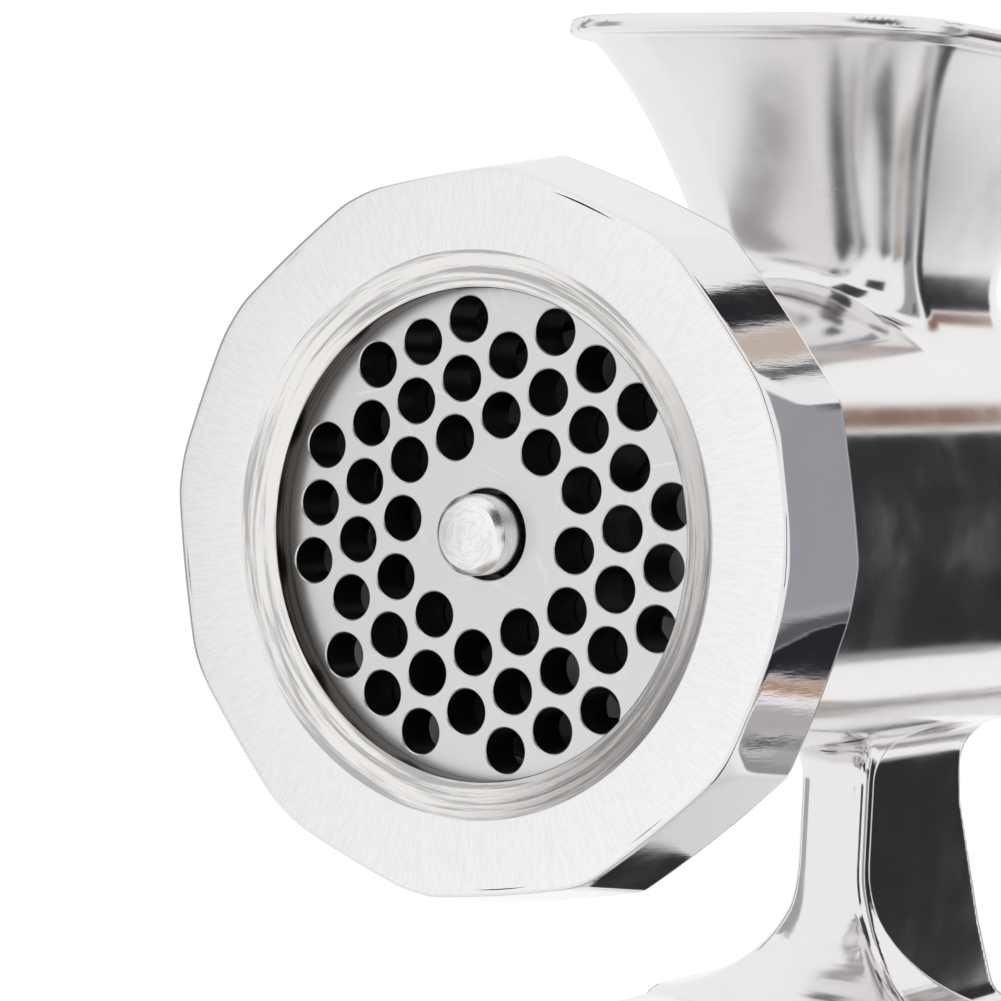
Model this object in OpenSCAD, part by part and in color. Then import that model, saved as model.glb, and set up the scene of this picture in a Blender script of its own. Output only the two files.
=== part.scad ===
// Table-clamp meat grinder with a hand crank.
// Frame: +Z up, -Y the way the mince comes out, X = 0 the plane of symmetry.
// The origin is the centre of the foot's contact face, where the grinder stands on the table.

/* [Stance] */
// Height of the barrel axis above the table
axis_h = 69; // [67:1:72]
// How far the plate's front face stands ahead of the foot's centre
outlet_reach = 77; // [76:1:78]

/* [Barrel] */
// Outer radius of the barrel
barrel_r = 27.8; // [27:0.1:28.5]
// Bore radius of the barrel
bore_r = 23.5; // [23:0.1:24]
// Outer radius of the head's thread
thread_r = 35; // [34.8:0.1:35.2]
// Distance from the plate's face to the outer end of the rear bearing boss
boss_end = 148; // [146:1:150]

/* [Hopper] */
// Height of the hopper rim above the barrel axis
rim_h = 60; // [56:1:66]
// Wall thickness of the hopper
hopper_wall = 3; // [2.5:0.1:4]
// Half width of the hopper where it leaves the barrel
neck_half = 14.4; // [13.5:0.1:15]

/* [Perforated plate] */
// Outer radius of the plate
plate_r = 31; // [30.5:0.1:31]
// Thickness of the plate
plate_t = 5.5; // [5:0.1:6]
// Radius of each mincing hole
mince_r = 2.5; // [1.5:0.1:2.8]
// Distance between neighbouring mincing holes
mince_pitch = 6.5; // [6.2:0.1:6.6]

/* [Ring nut] */
// Radius of the ring nut's opening
lip_r = 26.55; // [26:0.05:27]
// Thickness of the lip in front of the plate
lip_t = 4; // [3.5:0.1:4.5]
// Distance from the ring nut's axis to each of its flats, at the rear
flat_r = 40.2; // [39.8:0.1:40.8]
// Number of flats round the ring nut
flats = 12; // [8:1:16]

/* [Feed screw] */
// Radius over the flight of the feed screw
flight_r = 22.8; // [22:0.1:22.9]
// Distance along the axis for one turn of the flight
flight_pitch = 27; // [22:1:34]

/* [Crank] */
// Distance from the barrel axis to the grip's axis
crank_len = 130; // [110:5:150]
// Length of the grip
grip_len = 84; // [70:1:95]

/* [Clamp] */
// Thickness of the board the clamp is drawn round at rest
clamp_gap = 26; // [10:1:40]
// Radius of the clamp screw over its thread
screw_r = 6; // [5:0.5:6]
// Length of the tommy bar between its end caps
bar_len = 84; // [70:1:90]

/* [Hidden] */

$fn = 96;
running = 0.05;      // radial clearance of every running fit
over = 1;            // how far a cutter runs past the face it opens

// barrel, all distances behind the plate's front face
head_front = 1.2;
head_end = 15;
collar_r = 36.5;
collar_front = 10;
barrel_start = 29;
head_sweep = 16;
tail_start = 110;
tail_round = 22;
boss_r = 15.5;
bore_end = 109;
seat_clear = 0.15;
chamber_r = 26.5;
chamber_end = 16;
bush_r = 12;
journal_r = 9;

// hopper, heights above the barrel axis
neck_h = 32;
neck_front = 61.75;
neck_rear = 99;
neck_corner = 9.2;
neck_sunk = 20;
inner_start = 24;
lip_h = 2;
lip_out = 0.9;

// leg and clamp frame, in the outlet frame
leg_front = 81.3;
leg_top = -20;
flange_t = 3.3;
flange_half = 4.6;
side_sweep = 18;
side_start = -43.5;
front_sweep = 15;
front_start = -48;
rear_sweep = 20;
rear_start = -44;
web_half = 2.5;
foot_half = 21;
foot_front = 56;
foot_rear = 98;
foot_top = -62;
pad_t = 2;
foot_under = pad_t - axis_h;
throat_back = 100;
throat_depth = 56;
throat_round = 4;
throat_flange = 4;
flange_wide = 18;
spine_half = 4;
spine_rear = 131;
spine_sweep = 24;
jaw_len = 18;
jaw_r = 12.5;
jaw_top = -axis_h - throat_depth;
jaw_under = jaw_top - jaw_len;

// pieces fixed in the casting
bush_flange_r = 14;
bush_flange_t = 2;
key_r = 1.6;
key_at = 29;
notch_r = key_r + 0.25;
key_stand = 4;       // how far the key stands into the plate's notch
key_deep = 6;        // how deep it sits in the casting
foot_mid = (foot_front + foot_rear) / 2 - outlet_reach;
pad_inset = 2;
pad_round = 4;

// plate and ring nut
pin_hole_r = 5;
hole_turn = 34.9;
dish_r = 30.6;
face_r = 38.5;
side_r = 42.3;
ring_end = 7.8;
ring_clear = 0.1;
flat_turn = 20;
flat_lean = 4.5;

// feed screw, drive stud and knife
core_r = 10.5;
flight_t = 4.5;
flight_steps = 20;
screw_front = 13.8;
flight_start = 15;
flight_end = 104;
shoulder_r = 15;
shoulder_end = 107;
square_end = 167.4;
drive_square = 12;
square_clear = 0.1;
end_hole = 20;
stud_r = 4.4;
stud_tip_r = 3.65;
stud_tip = 3.75;
stud_shank_r = 5;
stud_shank_end = 35;
knife_square = 10;
knife_hub_r = 12;
knife_r = 25.5;
knife_front = 5.6;
knife_t = 8;

// crank, grip and thumb screw
hub_start = 150.4;
hub_end = 168.4;
hub_r = 14;
arm_start = 157;
arm_end = 166;
eye_end = 167;
eye_r = 10;
spindle_r = 4;
spindle_head_r = 7;
washer_t = 1;
grip_gap = 0.3;
thumb_washer_t = 1.6;
thumb_shank_r = 4;
tip_room = 4;        // space left in the tapped hole past the thumb screw's tip
wing_r = 6.5;
wing_hub_r = 7;
wing_t = 4;
wing_out = 10;

// clamp screw, pad and tommy bar, heights above the table
pad_r = 15;
rubber_t = 2;
pad_disc_t = 5;
pad_boss_t = 5;
pad_boss_r = 8.5;
spigot_r = 5;
spigot_len = 6;
screw_head_r = 9;
screw_head_len = 16;
bar_drop = 86;
bar_r = 3.5;
cap_r = 5.5;
cap_len = 10;
cap_bite = 5;

// points along an arc, centre c, radius r, from angle a to angle b in n steps
function arc(c, r, a, b, n = 8) =
    [for (i = [0 : n]) c + r * [cos(a + (b - a) * i / n), sin(a + (b - a) * i / n)]];

// the same points in the opposite order
function reversed(points) = [for (i = [len(points) - 1 : -1 : 0]) points[i]];

// an outline and its mirror image across x = 0, joined into one
function mirrored(points) = concat(points, [for (p = reversed(points)) [-p[0], p[1]]]);

// the outlet frame: origin on the barrel axis at the plate's front face, y runs back along the axis
module at_outlet() translate([0, -outlet_reach, axis_h]) children();

// a body turned on the barrel axis, from points of radius and distance behind the plate
module turned(outline) rotate([-90, 0, 0]) rotate_extrude() polygon(outline);

// a round bar or hole along the barrel axis
module rod(r, from, to) translate([0, from, 0]) rotate([-90, 0, 0]) cylinder(r = r, h = to - from);

// a profile drawn in y and z, given a thickness across the grinder
module across(half) rotate([90, 0, 90]) translate([0, 0, -half]) linear_extrude(2 * half) children();

// a profile drawn in x and z, run back along the grinder
module along(from, to) translate([0, to, 0]) rotate([90, 0, 0]) linear_extrude(to - from) children();

// ---------------------------------------------------------------- hopper

// share of the way up the flare, 0 at the neck and 1 at the rim
function rise(h) = (h - neck_h) / (rim_h - neck_h);

// growth of the flare: a straight part and a late curl
function flare(h, straight, curl) = straight * rise(h) + curl * pow(max(rise(h), 0), 4);

// corner points of the hopper's section at height h, moved inwards by inset and placed at height z
function hopper_ring(h, inset, z, n = 8) =
    let (half = neck_half + flare(h, 7, 5.3) - inset,
         front = neck_front - flare(h, 15.8, 3.9) + inset,
         rear = neck_rear + flare(h, 7, 5.3) - inset,
         r = neck_corner + flare(h, 3.2, 2.2) - inset)
    [for (p = concat(arc([half - r, rear - r], r, 0, 90, n), arc([r - half, rear - r], r, 90, 180, n),
                     arc([r - half, front + r], r, 180, 270, n),
                     arc([half - r, front + r], r, 270, 360, n)))
        [p[0], p[1], z]];

// a closed solid through a stack of rings with equal counts of points
module loft(rings) {
    n = len(rings[0]);
    polyhedron(
        points = [for (ring = rings, p = ring) p],
        faces = concat(
            [[for (i = [0 : n - 1]) i]],
            [for (k = [0 : len(rings) - 2], i = [0 : n - 1])
                [k * n + i, (k + 1) * n + i, (k + 1) * n + (i + 1) % n, k * n + (i + 1) % n]],
            [[for (i = [n - 1 : -1 : 0]) (len(rings) - 1) * n + i]]));
}

// heights at which the flare is drawn
flare_steps = [for (i = [0 : 8]) neck_h + (rim_h - neck_h) * sin(90 * i / 8)];

module hopper_outside() {
    loft([for (h = concat([neck_sunk], flare_steps)) hopper_ring(h, 0, h)]);
    loft([for (z = [rim_h - lip_h, rim_h]) hopper_ring(rim_h, -lip_out, z)]);
}

module hopper_inside()
    loft(concat([hopper_ring(inner_start, hopper_wall, 10)],
                [for (h = concat([inner_start], flare_steps)) hopper_ring(h, hopper_wall, h)],
                [hopper_ring(rim_h, hopper_wall, rim_h + over)]));

// ---------------------------------------------------------------- body casting

// outline of the barrel: threaded head, collar, sweep down to the barrel, domed tail and bearing boss
barrel_outline = concat(
    [[0, head_front], [thread_r - 0.8, head_front], [thread_r, head_front + 0.8], [thread_r, collar_front],
     [collar_r, collar_front], [collar_r, head_end]],
    arc([barrel_r + head_sweep, barrel_start], head_sweep, 240, 180),
    arc([barrel_r - tail_round, tail_start], tail_round, 0, 56),
    arc([boss_r + 4, tail_start + 22], 4, 215, 180, 4),
    [[boss_r, boss_end - 1], [boss_r - 1, boss_end], [0, boss_end]]);

// outline of what is hollow: plate seat, knife chamber, barrel bore and bush seat
bore_outline = [
    [0, head_front - over], [plate_r + seat_clear, head_front - over], [plate_r + seat_clear, plate_t],
    [chamber_r, plate_t], [chamber_r, chamber_end], [bore_r, chamber_end + 4], [bore_r, bore_end],
    [bush_r, bore_end], [bush_r, boss_end + over], [0, boss_end + over]];

// half outline of the leg seen from the front, spreading into the foot
leg_half_outline = concat(
    [[0, foot_under], [-foot_half, foot_under], [-foot_half, foot_top + 0.5]],
    arc([-flange_half - side_sweep, side_start], side_sweep, -85, 0),
    [[-flange_half, leg_top], [0, leg_top]]);

// outline of the leg's front flange seen from the side, spreading into the foot
leg_side_outline = concat(
    [[foot_front, foot_under], [foot_front, foot_top]],
    arc([leg_front - front_sweep, front_start], front_sweep, -69, 0),
    [[leg_front, leg_top], [leg_front + flange_t, leg_top]],
    arc([leg_front + flange_t + rear_sweep, rear_start], rear_sweep, 180, 246),
    [[foot_rear, foot_top], [foot_rear, foot_under]]);

// rear edge of the frame, from the spine up to the barrel
rear_edge = [[spine_rear, -76], [128.7, -67], [125.5, -62], [121.5, -55],
             [117.5, -46], [114, -38], [111.5, leg_top]];

// the web behind the flange, from the barrel down past the foot
leg_web_outline = concat([[leg_front + 1, leg_top], [leg_front + 1, foot_under], [spine_rear, -80]],
                         rear_edge);

// the thicker spine behind and below the table's edge
spine_outline = concat(
    [[outlet_reach, jaw_under], [spine_rear - spine_sweep - 6, jaw_under]],
    arc([spine_rear - spine_sweep, jaw_under + spine_sweep], spine_sweep, -90, 0),
    [for (k = [0 : 1]) rear_edge[k]], [[foot_rear - 4, foot_under], [outlet_reach, jaw_top]]);

// outline of the table's throat, grown by extra all round
function throat(extra) =
    let (r = throat_round + extra, back = throat_back + extra,
         top = foot_under + extra, bottom = jaw_top - extra)
    concat([[foot_front - 1, bottom]], arc([back - r, bottom + r], r, -90, 0),
           arc([back - r, top - r], r, 0, 90), [[foot_front - 1, top]]);

module leg() {
    intersection() {
        along(foot_front, foot_rear) polygon(mirrored(leg_half_outline));
        across(foot_half) polygon(leg_side_outline);
    }
    across(web_half) difference() {
        polygon(leg_web_outline);
        polygon(throat(0));
    }
}

// the frame round the throat: a web with a flange along its inner side, and the boss for the screw
module clamp_frame() {
    across(spine_half) difference() {
        polygon(spine_outline);
        polygon(throat(0));
    }
    across(flange_wide / 2) difference() {
        intersection() {
            polygon(throat(throat_flange));
            translate([outlet_reach, jaw_under]) square([spine_rear - outlet_reach, foot_top - jaw_under]);
        }
        polygon(throat(0));
    }
    translate([0, outlet_reach, jaw_under]) cylinder(r = jaw_r, h = jaw_len);
}

module body_casting() color("silver") at_outlet() difference() {
    union() {
        turned(barrel_outline);
        hopper_outside();
        leg();
        clamp_frame();
    }
    turned(bore_outline);
    hopper_inside();
    key_place() rod(key_r, plate_t - over, plate_t + key_deep);
    translate([0, outlet_reach, jaw_under - over]) cylinder(r = screw_r + running, h = jaw_len + 2 * over);
}

// ---------------------------------------------------------------- pieces fixed in the casting

module rear_bush() color("goldenrod") at_outlet() difference() {
    union() {
        rod(bush_r, bore_end, boss_end);
        rod(bush_flange_r, boss_end, boss_end + bush_flange_t);
    }
    rod(journal_r, bore_end - over, boss_end + bush_flange_t + over);
}

// the key pin stands in the seat's floor and holds the plate still
module key_place() translate([0, 0, -key_at]) children();

module plate_key() color("gray") at_outlet() key_place()
    rod(key_r, plate_t - key_stand, plate_t + key_deep);

module foot_pad() color("dimgray")
    translate([0, foot_mid, 0])
        rounded_block(2 * (foot_half - pad_inset), foot_rear - foot_front - 2 * pad_inset,
                      pad_t, pad_round);

// a flat block with rounded upright corners
module rounded_block(x, y, z, r) linear_extrude(z) {
    square([x - 2 * r, y], center = true);
    square([x, y - 2 * r], center = true);
    for (i = [-1, 1], j = [-1, 1]) translate([i * (x / 2 - r), j * (y / 2 - r)]) circle(r);
}

// ---------------------------------------------------------------- plate and ring nut

// places of the mincing holes: a triangular grid without its centre, its first ring and its corners
module mince_holes() {
    for (i = [-4 : 4], j = [-4 : 4]) {
        steps = i * i + i * j + j * j;
        if (steps >= 3 && steps <= 13)
            translate(mince_pitch * [i + j / 2, j * sqrt(3) / 2]) circle(mince_r);
    }
}

module perforated_plate() color("lightgray") at_outlet() difference() {
    rod(plate_r, 0, plate_t);
    rod(pin_hole_r, -over, plate_t + over);
    translate([0, plate_t + over, 0]) rotate([90, hole_turn, 0])
        linear_extrude(plate_t + 2 * over) mince_holes();
    key_place() {
        rod(notch_r, -over, plate_t + over);
        translate([-notch_r, -over, -2 * notch_r]) cube([2 * notch_r, plate_t + 2 * over, 2 * notch_r]);
    }
}

// outline of the ring nut: opening, dished chamfer, face, flared side and thread bore
ring_outline = [
    [lip_r, 0], [lip_r, -2.4], [dish_r, -lip_t], [face_r, -lip_t], [face_r + 0.5, 0.5 - lip_t],
    [side_r, 4], [side_r, ring_end - 0.6], [side_r - 0.6, ring_end],
    [thread_r + ring_clear, ring_end], [thread_r + ring_clear, 0]];

module ring_nut() color("whitesmoke") at_outlet() difference() {
    turned(ring_outline);
    for (k = [0 : flats - 1]) rotate([0, flat_turn + 360 * k / flats, 0])
        translate([0, ring_end, flat_r]) rotate([flat_lean, 0, 0])
            translate([-flat_r / 2, -3 * lip_t, 0]) cube([flat_r, 5 * lip_t, flat_r]);
}

// ---------------------------------------------------------------- feed screw, stud and knife

// section of the feed screw: the round core with the root and crest of one flight
module flight_section() {
    half_turn = 180 * flight_t / flight_pitch;
    circle(core_r, $fn = 20);
    polygon(concat(arc([0, 0], core_r - 0.5, -1.6 * half_turn, 1.6 * half_turn, 4),
                   arc([0, 0], flight_r, 0.8 * half_turn, -0.8 * half_turn, 4)));
}

// the flight is left-handed, so turning the crank clockwise drives the meat forwards
module feed_screw() color("silver") at_outlet() difference() {
    flight_len = flight_end - flight_start;
    turns = flight_len / flight_pitch;
    union() {
        rod(core_r, screw_front, flight_start);
        translate([0, flight_start, 0]) rotate([-90, 0, 0])
            linear_extrude(flight_len, twist = 360 * turns, slices = round(flight_steps * turns), $fn = 24)
                flight_section();
        rod(shoulder_r, flight_end, shoulder_end);
        rod(journal_r - running, shoulder_end, hub_start);
        square_bar(drive_square, hub_start, square_end);
    }
    rod(stud_shank_r, screw_front - over, stud_shank_end);
    rod(thumb_shank_r, square_end - end_hole, square_end + over);
}

// a square bar along the barrel axis
module square_bar(across_flats, from, to)
    translate([-across_flats / 2, from, -across_flats / 2]) cube([across_flats, to - from, across_flats]);

module drive_stud() color("gainsboro") at_outlet() {
    turned([[0, -stud_tip], [stud_tip_r, -stud_tip], [stud_r, stud_r - stud_tip_r - stud_tip],
            [stud_r, knife_front], [0, knife_front]]);
    square_bar(knife_square, knife_front, screw_front);
    rod(stud_shank_r, screw_front, stud_shank_end);
}

module knife() color("lightsteelblue") at_outlet() difference() {
    union() {
        rod(knife_hub_r, knife_front, knife_front + knife_t);
        for (k = [0 : 3]) rotate([0, 45 + 90 * k, 0]) along(knife_front, knife_front + knife_t - 1.5)
            polygon([[0, -3.5], [knife_r - 0.5, -2], [knife_r, 0], [knife_r - 0.5, 3.5], [0, 5.5]]);
    }
    square_bar(knife_square + square_clear, knife_front - over, knife_front + knife_t + over);
}

module thrust_washer() color("ivory") at_outlet() difference() {
    rod(shoulder_r, shoulder_end + 0.1, bore_end);
    rod(journal_r + 0.2, shoulder_end - over, bore_end + over);
}

// ---------------------------------------------------------------- crank and grip

// the grip's axis, with the crank hanging straight down
module at_eye() translate([0, 0, -crank_len]) children();

module crank_arm() color("silver") at_outlet() difference() {
    union() {
        rod(hub_r, hub_start, hub_end);
        along(arm_start, arm_end)
            polygon([[-hub_r + 2, 0], [hub_r - 2, 0], [eye_r - 1, -crank_len], [1 - eye_r, -crank_len]]);
        at_eye() rod(eye_r, arm_start, eye_end);
    }
    square_bar(drive_square + square_clear, hub_start - over, hub_end + over);
    at_eye() rod(spindle_r, arm_start - over, eye_end + over);
}

grip_start = eye_end + washer_t + grip_gap;
grip_end = grip_start + grip_len;
spindle_end = grip_end + grip_gap + washer_t;
spindle_nut_r = 7.5;
spindle_nut_t = 6.4;
grip_washer_r = 8;

module grip_spindle() color("silver") at_outlet() at_eye() {
    rod(spindle_r, arm_start - spindle_nut_t - 1, spindle_end);
    turned([[0, spindle_end], [spindle_head_r, spindle_end], [spindle_head_r, spindle_end + 1.7],
            [spindle_head_r - 2, spindle_end + 3.7], [0, spindle_end + 4.2]]);
}

module spindle_nut() color("gainsboro") at_outlet() at_eye() difference() {
    translate([0, arm_start - spindle_nut_t, 0]) rotate([-90, 0, 0])
        cylinder(r = spindle_nut_r, h = spindle_nut_t, $fn = 6);
    rod(spindle_r, arm_start - spindle_nut_t - over, arm_start + over);
}

module flat_washer(r, hole, from, to) difference() {
    rod(r, from, to);
    rod(hole, from - over, to + over);
}

module grip_washers() color("gainsboro") at_outlet() at_eye() {
    flat_washer(grip_washer_r, spindle_r, eye_end, eye_end + washer_t);
    flat_washer(grip_washer_r, spindle_r, grip_end + grip_gap, spindle_end);
}

// outline of the turned grip, as shares of its length
grip_outline = [[8.6, 0], [9.6, 0.02], [9.2, 0.1], [9.9, 0.2], [11.4, 0.34], [13, 0.5], [13.9, 0.64],
                [13.8, 0.76], [12.6, 0.88], [10.6, 0.97], [8.6, 1]];

module grip() color("burlywood") at_outlet() at_eye() translate([0, grip_start, 0]) turned(concat(
    [[spindle_r + running, 0]],
    [for (p = grip_outline) [p[0], p[1] * grip_len]],
    [[spindle_r + running, grip_len]]));

module crank_washer() color("gainsboro") at_outlet()
    flat_washer(11, thumb_shank_r + 0.3, hub_end, hub_end + thumb_washer_t);

module crank_screw() color("silver") at_outlet() {
    head = hub_end + thumb_washer_t;
    rod(thumb_shank_r - running, square_end - end_hole + tip_room, head);
    rod(wing_hub_r, head, head + wing_out);
    for (side = [-1, 1])
        translate([side * wing_out, head + wing_r + 2.5, -wing_t / 2]) cylinder(r = wing_r, h = wing_t);
    translate([-wing_out, head + wing_t, -wing_t / 2]) cube([2 * wing_out, 2 * wing_t, wing_t]);
}

// ---------------------------------------------------------------- table clamp

module disc(r, from, to) translate([0, 0, from]) cylinder(r = r, h = to - from);

pad_under = -clamp_gap - rubber_t - pad_disc_t - pad_boss_t;
bar_z = -clamp_gap - bar_drop;

module pad_rubber() color("dimgray") disc(pad_r - 1, -clamp_gap - rubber_t, -clamp_gap);

module clamp_pad() color("gainsboro") difference() {
    union() {
        disc(pad_r, pad_under + pad_boss_t, -clamp_gap - rubber_t);
        disc(pad_boss_r, pad_under, pad_under + pad_boss_t);
    }
    disc(spigot_r + running, pad_under - over, pad_under + spigot_len);
}

module clamp_screw() color("silver") difference() {
    union() {
        disc(spigot_r, pad_under - 0.4, pad_under + spigot_len - 0.2);
        disc(screw_r, bar_z, pad_under - 0.4);
        disc(screw_head_r, bar_z - screw_head_len / 2, bar_z + screw_head_len / 2);
    }
    translate([-screw_head_r - over, 0, bar_z]) rotate([0, 90, 0])
        cylinder(r = bar_r + running, h = 2 * (screw_head_r + over));
}

module tommy_bar() color("gainsboro")
    translate([-bar_len / 2, 0, bar_z]) rotate([0, 90, 0]) cylinder(r = bar_r, h = bar_len);

module bar_caps() color("silver") for (side = [0, 1]) mirror([side, 0, 0])
    translate([bar_len / 2 - cap_bite, 0, bar_z]) rotate([0, 90, 0]) rotate_extrude() polygon(concat(
        [[bar_r, 0], [cap_r - 1, 0], [cap_r, 1]], arc([cap_r - 3.5, cap_len - 3.5], 3.5, 0, 90),
        [[0, cap_len], [0, cap_bite], [bar_r, cap_bite]]));

body_casting();
rear_bush();
plate_key();
foot_pad();
ring_nut();
perforated_plate();
feed_screw();
drive_stud();
knife();
thrust_washer();
crank_arm();
grip_spindle();
spindle_nut();
grip_washers();
grip();
crank_washer();
crank_screw();
clamp_pad();
pad_rubber();
clamp_screw();
tommy_bar();
bar_caps();
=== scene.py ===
"""Looks of the table-clamp meat grinder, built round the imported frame."""
import logging
import math
from dataclasses import dataclass, field
from enum import Enum, IntEnum
from typing import Mapping, Optional, Sequence, Union

import bmesh
import bpy
import numpy as np
from mathutils import Euler, Matrix, Vector
from mathutils.geometry import delaunay_2d_cdt


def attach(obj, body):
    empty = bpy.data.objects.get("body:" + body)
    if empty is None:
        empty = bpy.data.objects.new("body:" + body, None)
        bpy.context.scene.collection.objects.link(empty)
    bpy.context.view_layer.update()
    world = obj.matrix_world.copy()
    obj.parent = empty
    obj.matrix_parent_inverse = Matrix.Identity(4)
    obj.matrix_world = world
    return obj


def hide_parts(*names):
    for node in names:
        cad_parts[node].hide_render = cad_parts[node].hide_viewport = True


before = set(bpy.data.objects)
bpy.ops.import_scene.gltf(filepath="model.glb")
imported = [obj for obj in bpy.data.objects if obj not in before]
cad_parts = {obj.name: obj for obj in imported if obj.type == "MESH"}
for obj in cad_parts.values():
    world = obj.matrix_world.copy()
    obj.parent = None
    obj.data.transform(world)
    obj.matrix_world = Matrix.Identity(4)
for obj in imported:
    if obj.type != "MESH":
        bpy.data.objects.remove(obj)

log = logging.getLogger("grinder")

MM = 0.001
# the barrel axis at the plate's front face, in the row frame, in millimetres
OUTLET = np.array([0.0, -77.0, 69.0])
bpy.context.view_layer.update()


class Axis(Enum):
    """A direction to turn round: two of X, Y and Z that lie across it, and the one along it, by number."""

    BARREL = (0, 2, 1)
    UP = (0, 1, 2)
    ACROSS = (1, 2, 0)


# ---------------------------------------------------------------- shader expressions

Value = Union["Wire", float, Sequence[float]]


@dataclass(frozen=True)
class Wire:
    """An output socket that can be used in Python expressions."""

    bench: "Bench"
    socket: bpy.types.NodeSocket

    def _math(self, operation: str, first: Value, second: Value = 0.0, clamp: bool = False) -> "Wire":
        """Adds one Math node and returns its result."""
        settings = {"operation": operation, "use_clamp": clamp}
        return self.bench.node("ShaderNodeMath", settings, {0: first, 1: second})

    def __add__(self, other: Value) -> "Wire":
        """Returns self + other."""
        return self._math("ADD", self, other)

    __radd__ = __add__

    def __sub__(self, other: Value) -> "Wire":
        """Returns self - other."""
        return self._math("SUBTRACT", self, other)

    def __rsub__(self, other: Value) -> "Wire":
        """Returns other - self."""
        return self._math("SUBTRACT", other, self)

    def __mul__(self, other: Value) -> "Wire":
        """Returns self * other."""
        return self._math("MULTIPLY", self, other)

    __rmul__ = __mul__

    def __truediv__(self, other: Value) -> "Wire":
        """Returns self / other."""
        return self._math("DIVIDE", self, other)

    def __rtruediv__(self, other: Value) -> "Wire":
        """Returns other / self."""
        return self._math("DIVIDE", other, self)

    def __pow__(self, other: Value) -> "Wire":
        """Returns self to the power other."""
        return self._math("POWER", self, other)

    def clamped(self) -> "Wire":
        """Returns self held between 0 and 1."""
        return self._math("ADD", self, 0.0, clamp=True)

    def most(self, other: Value) -> "Wire":
        """Returns the larger of self and other."""
        return self._math("MAXIMUM", self, other)

    def ramp(self, low: float, high: float) -> "Wire":
        """Returns 0 where self is at low and 1 where it is at high, with a smooth step between.

        Args:
            low: the value that gives 0.
            high: the value that gives 1; it may be below low.

        Returns:
            The mask.
        """
        return self.bench.node("ShaderNodeMapRange", {"interpolation_type": "SMOOTHSTEP"},
                               {0: self, 1: low, 2: high, 3: 0.0, 4: 1.0})


class Bench:
    """Adds nodes to one node tree."""

    def __init__(self, tree: bpy.types.NodeTree) -> None:
        """Keeps the tree and empties it."""
        self.tree = tree
        tree.nodes.clear()

    def node(self, kind: str, settings: Optional[Mapping[str, object]] = None,
             inputs: Optional[Mapping[Union[int, str], Value]] = None, output: Union[int, str] = 0) -> Wire:
        """Adds a node of any kind.

        Args:
            kind: the node's type.
            settings: its settings by name, which are set first.
            inputs: values or wires by socket.
            output: the socket that is returned.

        Returns:
            The output as a wire.
        """
        item = self.tree.nodes.new(kind)
        for key, value in (settings or {}).items():
            setattr(item, key, value)
        for key, value in (inputs or {}).items():
            if isinstance(value, Wire):
                self.tree.links.new(value.socket, item.inputs[key])
            else:
                item.inputs[key].default_value = value
        return Wire(self, item.outputs[output])

    def show(self, shader: Wire, kind: str) -> None:
        """Adds the output node and links the shader to it."""
        self.tree.links.new(shader.socket, self.tree.nodes.new(kind).inputs[0])

    def place(self) -> Wire:
        """Returns the surface point in metres, in the object's own frame."""
        return self.node("ShaderNodeTexCoord", output="Object")

    def parts(self, vector: Wire) -> tuple[Wire, Wire, Wire]:
        """Returns the three numbers of a vector."""
        item = self.node("ShaderNodeSeparateXYZ", inputs={0: vector}).socket.node
        return tuple(Wire(self, item.outputs[k]) for k in range(3))

    def vector(self, x: Value, y: Value, z: Value) -> Wire:
        """Returns a vector made of three numbers."""
        return self.node("ShaderNodeCombineXYZ", inputs={0: x, 1: y, 2: z})

    def scaled(self, vector: Wire, by: Sequence[float]) -> Wire:
        """Returns a vector stretched along each axis."""
        return self.node("ShaderNodeVectorMath", {"operation": "MULTIPLY"}, {0: vector, 1: tuple(by)})

    def spun(self, vector: Wire, degrees: float, shift: Sequence[float] = (0.0, 0.0, 0.0)) -> Wire:
        """Returns a vector turned about Y and moved."""
        inputs = {"Vector": vector, "Location": tuple(shift), "Rotation": (0.0, math.radians(degrees), 0.0)}
        return self.node("ShaderNodeMapping", inputs=inputs)

    @staticmethod
    def span(first: Wire, second: Wire) -> Wire:
        """Returns the distance of a point from an axis, by its two distances across it."""
        return (first * first + second * second) ** 0.5

    def blend(self, factor: Value, first: Value, second: Value) -> Wire:
        """Returns a mix of two colours.

        Args:
            factor: 0 gives the first colour and 1 the second.
            first: a colour.
            second: a colour.

        Returns:
            The mixed colour.
        """
        def four(colour: Value) -> Value:
            """Returns a plain colour with its alpha."""
            return colour if isinstance(colour, Wire) else (*colour[:3], 1.0)
        inputs = {0: factor, 6: four(first), 7: four(second)}
        return self.node("ShaderNodeMix", {"data_type": "RGBA"}, inputs, 2)

    def noise(self, vector: Wire, scale: float, detail: float = 2.0, rough: float = 0.5,
              twist: float = 0.0) -> Wire:
        """Returns fractal noise between 0 and 1."""
        return self.node("ShaderNodeTexNoise", inputs={"Vector": vector, "Scale": scale, "Detail": detail,
                                                       "Roughness": rough, "Distortion": twist})

    def cells(self, vector: Wire, scale: float) -> Wire:
        """Returns the distance to the nearest point of a scattered set."""
        return self.node("ShaderNodeTexVoronoi", inputs={"Vector": vector, "Scale": scale})

    def bump(self, height: Wire, depth_mm: float) -> Wire:
        """Returns normals bent by a height between 0 and 1, which stands out by depth_mm at 1."""
        inputs = {"Strength": 1.0, "Distance": depth_mm * MM, "Height": height}
        return self.node("ShaderNodeBump", inputs=inputs)

    def glow(self, colour: Value) -> Wire:
        """Returns a shader that shows a colour as it is."""
        return self.node("ShaderNodeEmission", inputs={"Color": colour, "Strength": 1.0})


# ---------------------------------------------------------------- finishes

Colour = tuple[float, float, float]
# colour, roughness and normals
Surface = tuple[Value, Value, Optional[Wire]]


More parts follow.
